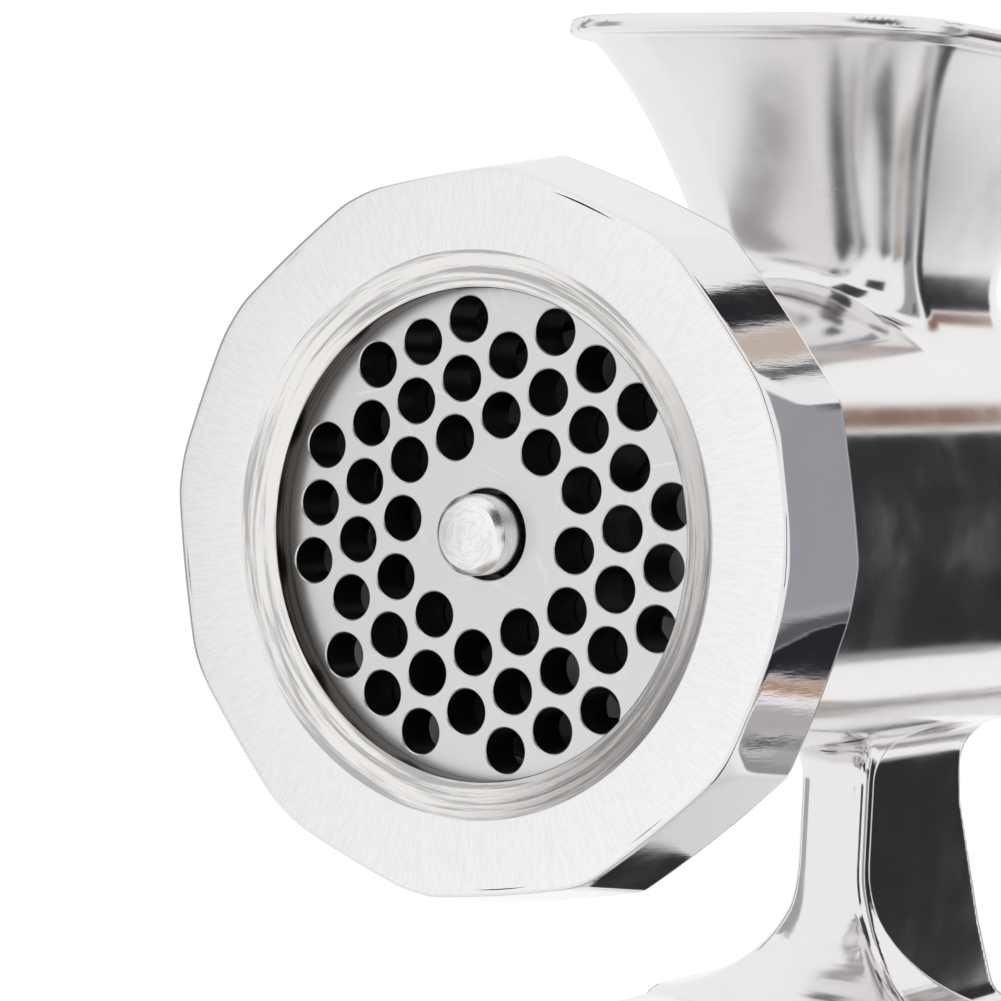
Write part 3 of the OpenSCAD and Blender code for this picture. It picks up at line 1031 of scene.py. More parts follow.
@dataclass
class Casting(Blended):
    """The one-piece body: head, barrel, hopper, leg, foot and clamp frame, run together with cast fillets."""

    low: tuple[float, float, float] = (-38.0, 0.3, -144.5)
    high: tuple[float, float, float] = (38.0, 149.0, 61.5)
    cell: float = 0.65
    barrel_r: float = 27.8
    bore_r: float = 23.5
    head_r: float = 34.1
    collar_r: float = 36.5
    boss_r: float = 15.5
    boss_end: float = 148.0
    # the hopper from its neck to its rim: each size at the neck, its growth, and more in the rim's curl
    neck_h: float = 32.0
    rim_h: float = 60.0
    hopper_half: tuple[float, float, float] = (14.4, 7.0, 4.6)
    hopper_front: tuple[float, float, float] = (61.75, -15.8, -3.6)
    hopper_rear: tuple[float, float, float] = (99.0, 7.0, 5.3)
    hopper_corner: tuple[float, float, float] = (9.2, 3.2, 2.2)
    lip_r: float = 0.8
    wall: float = 3.0
    web_half: float = 2.5
    spine_half: float = 4.0
    ledge_half: float = 9.0
    # fillets where the parts run together, and the roundness of cast edges
    hopper_fillet: float = 8.0
    leg_fillet: float = 6.0
    web_fillet: float = 3.5
    jaw_fillet: float = 3.0
    jaw_boss_fillet: float = 4.0
    hollow_fillet: float = 2.0
    cast_edge: float = 1.8
    spine_edge: float = 2.4
    jaw_boss_edge: float = 2.0
    throat_edge: float = 1.0
    machined_edge: float = 0.7
    # the hollow under the hopper: where its walls stop narrowing, and where it ends in the barrel
    hollow_lowest: float = 24.0
    hollow_foot: float = 10.0
    ledge_t: float = 4.0
    ledge_top: float = -62.0
    throat_back: float = 100.0
    foot_under: float = -67.0
    jaw_top: float = -125.0
    jaw_under: float = -143.0
    screw_at: float = 77.0
    screw_hole_r: float = 6.05
    screw_hole_top: float = -110.0
    jaw_boss_r: float = 12.5
    jaw_boss_mid: float = -134.0
    jaw_boss_half: float = 9.0

    def __post_init__(self) -> None:
        """Works out the outlines once."""
        r = self.barrel_r
        self.barrel_line = (
            [(-20.0, 1.2), (self.head_r - 0.8, 1.2), (self.head_r, 2.0), (self.head_r, 9.6)]
            + [(35.6, 9.8), (self.collar_r - 0.2, 10.0), (self.collar_r, 10.4), (self.collar_r, 14.4)]
            + arc((r + 16, 29), 16, 239, 180, 14) + arc((r - 22, 110), 22, 0, 56, 12)
            + arc((19.5, 132), 4, 215, 180, 4)
            + [(self.boss_r, 146.8), (self.boss_r - 0.35, 147.65), (self.boss_r - 1.2, self.boss_end)]
            + [(-20.0, self.boss_end)])
        self.bore_line = [(-20.0, -3.0), (31.15, -3.0), (31.15, 5.5), (26.5, 5.5), (26.5, 16.0),
                          (self.bore_r, 20.0), (self.bore_r, 109.0), (12.0, 109.0), (12.0, 152.0),
                          (-20.0, 152.0)]
        self.leg_front_line = ([(-9.0, self.foot_under), (21.0, self.foot_under), (21.0, -61.5)]
                               + arc((22.6, -43.5), 18, -95, -180, 28) + [(4.6, -18.0), (-9.0, -18.0)])
        self.leg_side_line = ([(56.0, self.foot_under), (56.0, -62.0)] + arc((66.3, -48), 15, -69, 0, 22)
                              + [(81.3, -18.0), (84.6, -18.0)] + arc((104.6, -44), 20, 180, 246, 22)
                              + [(98.0, -62.0), (98.0, self.foot_under)])
        rear = [(131.0, -76.0), (130.2, -71.0), (128.7, -67.0), (125.5, -62.0), (121.5, -55.0),
                (117.5, -46.0), (114.0, -38.0), (111.5, -18.0)]
        self.web_line = [(82.3, -18.0), (82.3, -70.0), (129.8, -70.0)] + rear[2:]
        self.spine_line = ([(self.screw_at, self.jaw_under), (101.0, self.jaw_under)]
                           + arc((107, self.jaw_under + 24), 24, -90, 0, 20) + rear[:3]
                           + [(94.0, self.foot_under), (self.screw_at, self.jaw_top)])

    def throat_line(self, extra: float) -> Line:
        """Outlines the table's throat, grown all round.

        Args:
            extra: how far it is grown.

        Returns:
            Points of distance back and height.
        """
        r, back = 4.0 + extra, self.throat_back + extra
        top, bottom = self.foot_under + extra, self.jaw_top - extra
        return ([(40.0, bottom)] + arc((back - r, bottom + r), r, -90, 0, 8)
                + arc((back - r, top - r), r, 0, 90, 8) + [(40.0, top)])

    def funnel(self, x: Field, d: Field, h: Field, inset: float, lowest: float) -> Field:
        """Returns the distance to the hopper's side.

        Args:
            x: across.
            d: back along the barrel.
            h: height above the barrel axis.
            inset: how far inside the outer face.
            lowest: the section keeps its size below this height.

        Returns:
            The distances.
        """
        tall = self.rim_h - self.neck_h
        s = (np.clip(h, lowest, self.rim_h) - self.neck_h) / tall
        curl = np.maximum(s, 0.0) ** 4
        half, front, rear, corner = (
            base + growth * s + extra * curl - inset * way
            for (base, growth, extra), way in ((self.hopper_half, 1.0), (self.hopper_front, -1.0),
                                               (self.hopper_rear, 1.0), (self.hopper_corner, 1.0)))
        past_x = np.abs(x) - (half - corner)
        past_d = np.abs(d - (front + rear) / 2) - ((rear - front) / 2 - corner)
        flat = rounded_box(past_x, past_d) - corner
        # the sides lean, so a level distance is more than the true one
        neck_lean, rim_lean = 10.0, 18.0
        lean = (neck_lean + rim_lean * np.maximum(s, 0.0) ** 3) / tall
        return flat / np.sqrt(1.0 + lean * lean)

    def hopper(self, x: Field, d: Field, h: Field) -> Field:
        """Gives the distance to the hopper's outside, with its rolled lip.

        Args:
            x: across.
            d: back along the barrel.
            h: height above the barrel axis.

        Returns:
            The distances.
        """
        lowest, foot, rim_cut = 20.0, 14.0, 0.15
        # the lip's core: how far inside the rim it stays, how far under it, and half its height
        lip_in, lip_drop, lip_half = 0.6, 1.2, 0.2
        ends = np.maximum(h - self.rim_h + rim_cut, foot - h)
        side = soft_meet(self.funnel(x, d, h, 0.0, lowest), ends, self.lip_r)
        out = self.funnel(x, d, np.full_like(h, self.rim_h), 0.0, lowest) + lip_in
        up = np.abs(h - (self.rim_h - lip_drop)) - lip_half
        return soft_join(side, rounded_box(out, up) - self.lip_r, self.lip_r)

    def field(self, x: Field, d: Field, h: Field) -> Field:
        """Gives the signed distance in millimetres, negative inside.

        Args:
            x: across.
            d: back along the barrel.
            h: height above the barrel axis.

        Returns:
            The distances.
        """
        radius = from_axis(x, h)
        from_screw = np.hypot(x, d - self.screw_at)
        body = soft_join(polygon_field(radius, d, self.barrel_line), self.hopper(x, d, h), self.hopper_fillet)
        leg = soft_meet(polygon_field(np.abs(x), h, self.leg_front_line),
                        polygon_field(d, h, self.leg_side_line), self.cast_edge)
        web = soft_meet(polygon_field(d, h, self.web_line), slab(x, self.web_half), self.cast_edge)
        body = soft_join(body, soft_join(leg, web, self.web_fillet), self.leg_fillet)
        spine = soft_meet(polygon_field(d, h, self.spine_line), slab(x, self.spine_half), self.spine_edge)
        ledge = np.maximum(polygon_field(d, h, self.throat_line(self.ledge_t)),
                           np.maximum(self.screw_at - d, h - self.ledge_top))
        ledge = soft_meet(ledge, slab(x, self.ledge_half), self.cast_edge)
        spine = soft_join(spine, ledge, self.jaw_fillet)
        boss = soft_meet(from_screw - self.jaw_boss_r, slab(h - self.jaw_boss_mid, self.jaw_boss_half),
                         self.jaw_boss_edge)
        body = soft_join(body, soft_join(spine, boss, self.jaw_boss_fillet), self.jaw_fillet)
        body = soft_meet(body, -polygon_field(d, h, self.throat_line(0.0)), self.throat_edge)
        inner = np.maximum(self.funnel(x, d, h, self.wall, self.hollow_lowest), self.hollow_foot - h)
        hollow = soft_join(polygon_field(radius, d, self.bore_line), inner, self.hollow_fillet)
        hole = np.maximum(from_screw - self.screw_hole_r, h - self.screw_hole_top)
        return soft_meet(body, -np.minimum(hollow, hole), self.machined_edge)

    def head_thread(self) -> Shape:
        """Makes the thread on the head, which the ring nut covers.

        Returns:
            The shape.
        """
        root, top, pitch, start, end = 34.0, 34.9, 2.0, 1.6, 9.6
        crest = [(root, 0.0), (top, 0.42), (top, 0.58)]
        sections = threaded(crest, pitch, start, end, root, 1.0, 128)
        inner = np.full((sections.shape[0], 1, 2), root - 1.0)
        first, last = inner.copy(), inner.copy()
        first[:, 0, 1], last[:, 0, 1] = start, end
        return swept(np.concatenate([first, sections, last], 1), Axis.BARREL, OUTLET, closed=True, wrap=False)

    def build(self, fitter: Fitter) -> None:
        """Builds and dresses the casting and the pieces fixed in it.

        Args:
            fitter: what puts the pieces on the frame.
        """
        fitter.fit(self.shape(), "cast_body", "casting", [CASTING], ["body_casting"])
        fitter.fit(self.head_thread(), "head_thread", "casting", [CASTING])
        bush = rounded([(9.0, 109.0), (12.0, 109.0), (12.0, 148.0), (14.0, 148.0), (14.0, 150.0),
                        (9.0, 150.0)], 0.5, closed=True)
        fitter.fit(turned(bush, Axis.BARREL, OUTLET, closed=True), "bearing_bush", "casting",
                   [BRONZE], ["rear_bush"])
        fitter.fit(self.foot_rubber(), "foot_rubber", "casting", [RUBBER], ["foot_pad"])
        fitter.dress("plate_key", PIN)
        fitter.dress("thrust_washer", NYLON)

    @staticmethod
    def foot_rubber() -> Shape:
        """Makes the foot's pad: a block with rounded edges and shallow ribs underneath.

        Returns:
            The shape.
        """
        def ring(inset: float, z: float) -> list[tuple[float, float, float]]:
            """Makes one loop round the pad.

            Args:
                inset: how far it lies inside the pad's sides.
                z: its height.

            Returns:
                The loop's points.
            """
            r = 4.0 - inset
            out = 19.0 - inset - r
            corners = ((out, out, 0), (-out, out, 90), (-out, -out, 180), (out, -out, 270))
            return [(x, y, z) for cx, cy, a in corners for x, y in arc((cx, cy), r, a, a + 90)]
        # how far in each loop lies, and its height
        steps = ((1.2, 2.0), (0.25, 2.0), (0.0, 1.75), (0.0, 0.4), (0.4, 0.0), (1.4, 0.0), (1.8, 0.35),
                 (2.6, 0.35), (3.0, 0.0))
        loops = [ring(inset, z) for inset, z in steps]
        count = len(loops[0])
        points = np.array(loops).reshape(-1, 3)
        pairs = [(k * count, (k + 1) * count, i, (i + 1) % count)
                 for k in range(len(loops) - 1) for i in range(count)]
        faces: list[tuple[int, ...]] = [(a + i, a + j, b + j, b + i) for a, b, i, j in pairs]
        faces.append(tuple(range(count)))
        faces.append(tuple(range((len(loops) - 1) * count, len(loops) * count)))
        return Shape(points, faces)


# ---------------------------------------------------------------- head: ring nut, plate, knife

class RingZone(IntEnum):
    """The parts of the ring nut's surface, in the order of its finishes."""

    SIDE = 0
    FACE = 1
    DISH = 2
    BORE = 3


@dataclass
class Head:
    """What is screwed and stacked on the front: the ring nut, the perforated plate and the knife."""

    lip_r: float = 26.55
    dish_r: float = 30.6
    lip_t: float = 4.0
    side_r: float = 42.3
    edge_r: float = 39.4
    cone_slope: float = 0.28
    seat_r: float = 35.1
    ring_end: float = 7.8
    flat_r: float = 40.45
    first_flat_deg: float = 10.0
    flats: int = 12
    lean_deg: float = 8.2
    # how far each flat falls away towards its ridges, since it was ground by hand
    crown: float = 0.36
    # how much less each flat was ground away, from the first one on
    spare: tuple[float, ...] = (0.62, 0.0, -0.18, 0.12, -0.05, 0.2, -0.1, 0.08, 0.15, -0.12, -0.08, 0.22)
    soft_ridge_deg: float = -5.0
    plate_r: float = 31.0
    plate_t: float = 5.5
    mince_r: float = 2.5
    pitch: float = 6.5
    grid_turn_deg: float = 34.9
    centre_r: float = 5.0
    chamfer: float = 0.13
    # the notch for the key
    notch_r: float = 1.85
    notch_at: float = 29.0
    # points along the ring nut's side, and segments round it, the plate's rim, its notch and its holes
    side_rows: int = 44
    ring_turns: int = 720
    rim_turns: int = 220
    notch_turns: int = 12
    centre_turns: int = 72
    hole_turns: int = 40

    def side_radius(self, angle: float, d: np.ndarray) -> np.ndarray:
        """Returns the ring nut's radius, turned and then ground to flats.

        Args:
            angle: the angle from +X, in degrees.
            d: distances behind the plate's face.

        Returns:
            The radii.
        """
        radius = np.minimum(self.edge_r + self.cone_slope * (d + self.lip_t), self.side_r)
        away = (angle - self.soft_ridge_deg + 180) % 360 - 180
        # one ridge is rounded off more than the others
        crisp, soft, soft_span = 0.22, 1.3, 9.0
        blend = crisp + soft * math.exp(-(away / soft_span) ** 2)
        lean = math.tan(math.radians(self.lean_deg))
        reach_deg = 50
        for k in range(self.flats):
            turn = (angle - self.first_flat_deg - 360 * k / self.flats + 180) % 360 - 180
            if abs(turn) < reach_deg:
                level = self.flat_r + self.spare[k] - (self.ring_end - d) * lean
                flat = level / math.cos(math.radians(turn)) - self.crown * (turn / (180 / self.flats)) ** 2
                h = np.clip(0.5 + 0.5 * (flat - radius) / blend, 0, 1)
                radius = flat + (radius - flat) * h - blend * h * (1 - h)
        return radius

    def ring(self) -> Shape:
        """Makes the ring nut.

        Returns:
            The shape, with each face's finish.
        """
        front = -self.lip_t
        opening = rounded([(self.seat_r, 0.4), (self.lip_r, 0.0), (self.lip_r, -2.35), (self.dish_r, front),
                           (38.0, front)], 0.16, 3)
        d = np.linspace(front + 0.06, self.ring_end - 0.4, self.side_rows)
        back = [(self.seat_r + 0.5, self.ring_end), (self.seat_r, self.ring_end - 0.5)]
        sections = []
        for k in range(self.ring_turns):
            side = self.side_radius(360 * k / self.ring_turns, d)
            # the front edge is broken by hand
            edge = [(side[0] - cut, front + drop) for cut, drop in ((0.75, 0.0), (0.36, 0.005), (0.12, 0.02))]
            side[:3] = side[:3] - np.array([0.05, 0.02, 0.0])
            rear = [(side[-1] - 0.1, self.ring_end - 0.15), (side[-1] - 0.4, self.ring_end)]
            sections.append(opening + edge + list(zip(side, d)) + rear + back)
        spans = zip(sections[0], sections[0][1:] + sections[0][:1])
        marks = [self.zone((r0 + r1) / 2, (d0 + d1) / 2) for (r0, d0), (r1, d1) in spans]
        return swept(np.array(sections), Axis.BARREL, OUTLET, closed=True, marks=marks)

    def zone(self, radius: float, d: float) -> RingZone:
        """Tells which part of the ring nut's surface a point of its section lies on.

        Args:
            radius: the point's radius.
            d: its distance behind the plate's face.

        Returns:
            The part.
        """
        # where the face, the bore and the opening end, each with a little room for the rounded corners
        face_r, face_room, bore_room, bore_front, dish_room, opening_end = 38.9, 0.012, 0.35, -2.6, 0.1, 0.3
        if d < face_room - self.lip_t and radius < face_r:
            return RingZone.FACE
        if radius < self.lip_r + bore_room and bore_front < d < opening_end:
            return RingZone.BORE
        if radius < self.dish_r + dish_room and d < opening_end:
            return RingZone.DISH
        return RingZone.SIDE

    def hole_centres(self) -> Line:
        """Places the mincing holes: the points of a triangular grid between two rings.

        Returns:
            The holes' centres, across and up.
        """
        turn = math.radians(self.grid_turn_deg)
        cos, sin = math.cos(turn), math.sin(turn)
        rows = range(-4, 5)
        grid = [(self.pitch * (i + j / 2), self.pitch * j * math.sqrt(3) / 2)
                for i in rows for j in rows if 3 <= i * i + i * j + j * j <= 13]
        return [(a * cos + b * sin, -a * sin + b * cos) for a, b in grid]

    def plate(self) -> Shape:
        """Makes the perforated plate, with each hole chamfered at both faces.

        Returns:
            The shape, with each face's finish.
        """
        half = math.asin(self.notch_r / self.plate_r)
        rim = [(self.plate_r * math.cos(a), self.plate_r * math.sin(a))
               for a in np.linspace(-math.pi / 2 + half, 1.5 * math.pi - half, self.rim_turns)]
        rim += [(self.notch_r * math.cos(a), -self.notch_at + self.notch_r * math.sin(a))
                for a in np.linspace(math.pi, 0, self.notch_turns)]
        loops = [(np.array(rim), None)]
        for centre, radius, count in ([((0.0, 0.0), self.centre_r, self.centre_turns)]
                                      + [(c, self.mince_r, self.hole_turns) for c in self.hole_centres()]):
            angles = np.arange(count) * 2 * math.pi / count
            loops.append((np.stack([np.cos(angles), np.sin(angles)], 1), (centre, radius)))
        flat, edges = [], []
        for outline, hole in loops:
            start = len(flat)
            at = (outline * (1 - self.chamfer / self.plate_r) if hole is None
                  else outline * (hole[1] + self.chamfer) + hole[0])
            flat += [Vector(p) for p in at]
            edges += [(start + k, start + (k + 1) % len(outline)) for k in range(len(outline))]
        # a triangle with all its corners on one hole lies in the hole
        owner = [k for k, (outline, _) in enumerate(loops) for _ in outline]
        _, _, triangles, sources, *_ = delaunay_2d_cdt(flat, edges, [], 1, 1e-6)
        kept = [face for face in (tuple(sources[i][0] for i in triangle) for triangle in triangles)
                if owner[face[0]] == 0 or len({owner[i] for i in face}) > 1]
        front = np.array([(p[0], 0.0, p[1]) for p in flat])
        rear = front + (0.0, self.plate_t, 0.0)
        points = [front, rear]
        faces = kept + [tuple(i + len(front) for i in f) for f in kept]
        marks = [0] * len(faces)
        start, base = 2 * len(front), 0
        for outline, hole in loops:
            count = len(outline)
            full = outline if hole is None else outline * hole[1] + hole[0]
            for d in (self.chamfer, self.plate_t - self.chamfer):
                points.append(np.stack([full[:, 0], np.full(count, d), full[:, 1]], 1))
            rows = [base, start, start + count, base + len(front)]
            for level, (a, b) in enumerate(zip(rows, rows[1:])):
                faces += [(a + k, a + (k + 1) % count, b + (k + 1) % count, b + k) for k in range(count)]
                marks += [1 if level == 1 and hole is not None else 0] * count
            start += 2 * count
            base += count
        return Shape(np.vstack(points) + OUTLET, faces, np.array(marks))

    def build(self, fitter: Fitter) -> None:
        """Builds and dresses the head.

        Args:
            fitter: what puts the pieces on the frame.
        """
        fitter.fit(self.ring(), "scalloped_ring", "ring",
                   [RING_SIDE, RING_FACE, RING_DISH, RING_BORE], ["ring_nut"], 50.0)
        fitter.fit(self.plate(), "mincing_plate", "plate", [PLATE, HOLE_WALL],
                   ["perforated_plate"], 30.0)
        fitter.dress("knife", KNIFE)


# ---------------------------------------------------------------- feed screw and its stud

@dataclass
class Feed:
    """The feed screw with its journal and square, and the stud in its front."""

    square: float = 10.0
    corner: float = 0.5
    shank_r: float = 5.0

    def square_radius(self, angle: float) -> float:
        """Returns the radius of the knife's square, with its corners turned off, at an angle in radians."""
        flat = self.square / 2 / max(abs(math.cos(angle)), abs(math.sin(angle)))
        return min(flat, self.square / 2 * math.sqrt(2) - self.corner)

    def build(self, fitter: Fitter) -> None:
        """Builds and dresses the feed screw and its stud.

        Args:
            fitter: what puts the pieces on the frame.
        """
        fitter.dress("feed_screw", SCREW)
        pin = rounded([(0.0, -3.75), (3.65, -3.75), (4.4, -3.0), (4.4, 5.6)], 0.12, 2)
        turns = 128
        shank = [(self.shank_r, 13.8), (self.shank_r, 34.5), (self.shank_r - 0.5, 35.0), (0.0, 35.0)]
        sections = []
        for angle in np.arange(turns) * 2 * math.pi / turns:
            r = self.square_radius(angle)
            sections.append(pin + [(r - 0.4, 5.6), (r, 6.0), (r, 13.4), (r - 0.3, 13.8)] + shank)
        fitter.fit(swept(np.array(sections), Axis.BARREL, OUTLET), "stud_and_pin", "drive",
                   [PIN], ["drive_stud"], 28.0)


# ---------------------------------------------------------------- crank and grip

@dataclass
class CrankArm(Blended):
    """The crank's arm with its square hub and its eye."""

    low: tuple[float, float, float] = (-15.0, 149.6, -141.0)
    high: tuple[float, float, float] = (15.0, 169.2, 15.0)
    cell: float = 0.65
    length: float = 130.0
    hub_r: float = 14.0
    hub_mid: float = 159.4
    hub_half: float = 9.0
    eye_r: float = 10.0
    eye_mid: float = 162.0
    eye_half: float = 5.0
    bar_mid: float = 161.5
    bar_half: float = 4.5
    # the bar's half width at the hub, and how much less it is at the eye
    bar_width: float = 12.0
    bar_taper: float = 3.0
    # the groove: the rim left beside it, how far it stays from both axes, and where its floor is
    groove_rim: float = 4.6
    groove_starts: tuple[float, float] = (22.0, 17.0)
    groove_floor: float = 164.9
    square_half: float = 6.05
    pin_hole_r: float = 4.0
    # the roundness of each edge, and the fillets from the bar to the hub and to the eye
    hub_edge: float = 1.6
    eye_edge: float = 1.4
    bar_edge: float = 3.2
    groove_corner: float = 5.0
    groove_bottom: float = 1.2
    groove_edge: float = 1.0
    hole_edge: float = 0.7
    hub_fillet: float = 4.0
    eye_fillet: float = 3.0

    def field(self, x: Field, d: Field, h: Field) -> Field:
        """Gives the signed distance in millimetres, negative inside.

        Args:
            x: across.
            d: back along the barrel.
            h: height above the barrel axis.

        Returns:
            The distances.
        """
        side, below, from_eye = np.abs(x), -h - self.length, from_axis(x, h + self.length)
        hub = soft_meet(from_axis(x, h) - self.hub_r, slab(d - self.hub_mid, self.hub_half), self.hub_edge)
        eye = soft_meet(from_eye - self.eye_r, slab(d - self.eye_mid, self.eye_half), self.eye_edge)
        half = self.bar_width - self.bar_taper * np.clip(-h / self.length, 0.0, 1.0)
        bar = soft_meet(side - half, slab(d - self.bar_mid, self.bar_half), self.bar_edge)
        bar = np.maximum(bar, np.maximum(h, below))
        ends = np.maximum(h + self.groove_starts[0], below + self.groove_starts[1])
        groove = soft_meet(side - (half - self.groove_rim), ends, self.groove_corner)
        groove = soft_meet(groove, self.groove_floor - d, self.groove_bottom)
        bar = soft_meet(bar, -groove, self.groove_edge)
        solid = soft_join(soft_join(hub, bar, self.hub_fillet), eye, self.eye_fillet)
        square = np.maximum(side, np.abs(h)) - self.square_half
        return soft_meet(solid, -np.minimum(square, from_eye - self.pin_hole_r), self.hole_edge)


@dataclass
class ThumbScrew(Blended):
    """The head of the thumb screw with its two wings."""

    low: tuple[float, float, float] = (-18.0, 169.4, -8.5)
    high: tuple[float, float, float] = (18.0, 187.0, 8.5)
    cell: float = 0.5
    hub_r: float = 7.0
    hub_mid: float = 175.0
    hub_half: float = 5.0
    wing_out: float = 10.0
    wing_mid: float = 179.0
    wing_r: float = 6.3
    wing_half: float = 1.9
    # the arms that carry the wings
    arm_out: float = 12.0
    arm_mid: float = 177.0
    arm_half: float = 3.0
    hub_edge: float = 1.5
    arm_edge: float = 2.0
    wing_edge: float = 1.4
    fillet: float = 3.0

    def field(self, x: Field, d: Field, h: Field) -> Field:
        """Gives the signed distance in millimetres, negative inside.

        Args:
            x: across.
            d: back along the barrel.
            h: height above the barrel axis.

        Returns:
            The distances.
        """
        hub = soft_meet(from_axis(x, h) - self.hub_r, slab(d - self.hub_mid, self.hub_half), self.hub_edge)
        wing = np.hypot(np.abs(x) - self.wing_out, d - self.wing_mid) - self.wing_r
        arm = soft_meet(np.abs(x) - self.arm_out, slab(d - self.arm_mid, self.arm_half), self.arm_edge)
        wings = soft_meet(soft_join(wing, arm, self.fillet), slab(h, self.wing_half), self.wing_edge)
        return soft_join(hub, wings, self.fillet)


@dataclass
class Crank:
    """The crank: arm, spindle, nut, washers, turned grip and thumb screw."""

    drop: float = 130.0
    spindle_r: float = 4.0
    grip_start: float = 168.3
    grip_len: float = 84.0

    def build(self, fitter: Fitter) -> None:
        """Builds and dresses the crank.

        Args:
            fitter: what puts the pieces on the frame.
        """
        eye = OUTLET - (0.0, 0.0, self.drop)
        eye_axis = (0.0, float(eye[2]))
        steel = plated("plated_grip_fittings", Axis.BARREL, eye_axis)
        hub_steel = plated("plated_hub_fittings", Axis.BARREL, (0.0, float(OUTLET[2])))
        fitter.fit(CrankArm().shape(), "crank_bar", "drive", [CASTING], ["crank_arm"])
        end = self.grip_start + self.grip_len + 1.3
        spindle = rounded([(0.0, 149.6), (self.spindle_r, 149.6), (self.spindle_r, end), (7.0, end),
                           (7.0, end + 1.7), (5.2, end + 3.6), (2.6, end + 4.15), (0.0, end + 4.2)], 0.6)
        fitter.fit(turned(spindle, Axis.BARREL, eye), "grip_pin", "drive", [steel],
                   ["grip_spindle"])
        first, second = (washer((4.0, 8.0, d, d + 1.0), 0.22, Axis.BARREL, eye) for d in (167.0, end - 1.0))
        fitter.fit(first.joined(second), "grip_washer_pair", "drive", [steel],
                   ["grip_washers"])
        fitter.fit(self.nut(eye), "grip_nut", "drive", [steel], ["spindle_nut"], 28.0)
        fitter.fit(self.grip(eye), "turned_grip", "grip", [WOOD], ["grip"])
        fitter.fit(washer((4.3, 11.0, 168.4, 170.0), 0.3, Axis.BARREL, OUTLET), "hub_washer", "thumb_washer",
                   [hub_steel], ["crank_washer"])
        shank = rounded([(0.0, 151.4), (3.95, 151.4), (3.95, 171.0), (0.0, 171.0)], 0.5)
        fitter.fit(ThumbScrew().shape(), "wing_head", "thumb_screw", [CASTING],
                   ["crank_screw"])
        fitter.fit(turned(shank, Axis.BARREL, OUTLET, 48), "wing_shank", "thumb_screw",
                   [hub_steel])

    @staticmethod
    def nut(eye: np.ndarray) -> Shape:
        """Makes the hexagon nut, chamfered on both faces.

        Args:
            eye: a point on the grip's axis, in millimetres.

        Returns:
            The shape.
        """
        hole_r, corner_r, start, end = 4.0, 7.5, 150.6, 157.0
        sixth = math.pi / 3
        chamfer = [(6.6 + t * 1.9, t * 0.55) for t in (0.0, 0.2, 0.4, 0.6, 0.8)]
        sections = []
        for k in range(144):
            angle = math.radians(k * 2.5)
            flat = corner_r * math.cos(sixth / 2) / math.cos(angle % sixth - sixth / 2)
            row = [(min(flat, r), start + d) for r, d in chamfer]
            row += [(min(flat, r), end - d) for r, d in reversed(chamfer)]
            sections.append([(hole_r, start + 0.3)] + row + [(hole_r, end - 0.3)])
        return swept(np.array(sections), Axis.BARREL, eye, closed=True)

    def grip(self, eye: np.ndarray) -> Shape:
        """Makes the turned grip with its beads.

        Args:
            eye: a point on the grip's axis, in millimetres.

        Returns:
            The shape.
        """
        knots = [(8.6, 0.0), (9.6, 0.02), (9.2, 0.1), (9.9, 0.2), (11.4, 0.34), (13.0, 0.5), (13.9, 0.64),
                 (13.8, 0.76), (12.6, 0.88), (10.6, 0.97), (8.6, 1.0)]
        radius, share = np.array(knots).T
        start, stop = self.grip_start, self.grip_start + self.grip_len
        t = np.linspace(0.0, 1.0, 90)
        curve = np.interp(t, share, radius)
        for _ in range(3):
            curve[1:-1] = (curve[:-2] + curve[1:-1] * 2 + curve[2:]) / 4
        for centre in (0.055, 0.925):
            curve -= 0.28 * np.exp(-((t - centre) / 0.006) ** 2)
        profile = [(4.05, start + 0.3), (4.4, start), (7.8, start)]
        profile += [(r, start + self.grip_len * p) for r, p in zip(curve[1:-1], t[1:-1])]
        profile += [(7.8, stop), (4.4, stop), (4.05, stop - 0.3)]
        return turned(profile, Axis.BARREL, eye, closed=True)


# ---------------------------------------------------------------- table clamp

@dataclass
class ScrewHead(Blended):
    """The clamp screw's head with its cross hole."""

    low: tuple[float, float, float] = (-10.0, 67.0, -190.5)
    high: tuple[float, float, float] = (10.0, 87.0, -171.5)
    cell: float = 0.45
    head_r: float = 9.0
    head_half: float = 8.0
    head_at: float = 77.0
    head_mid: float = -181.0
    head_edge: float = 1.8
    hole_r: float = 3.56
    hole_edge: float = 0.8

    def field(self, x: Field, d: Field, h: Field) -> Field:
        """Gives the signed distance in millimetres, negative inside.

        Args:
            x: across.
            d: back along the barrel.
            h: height above the barrel axis.

        Returns:
            The distances.
        """
        back, up = d - self.head_at, h - self.head_mid
        barrel = soft_meet(np.hypot(x, back) - self.head_r, slab(up, self.head_half), self.head_edge)
        return soft_meet(barrel, self.hole_r - np.hypot(back, up), self.hole_edge)


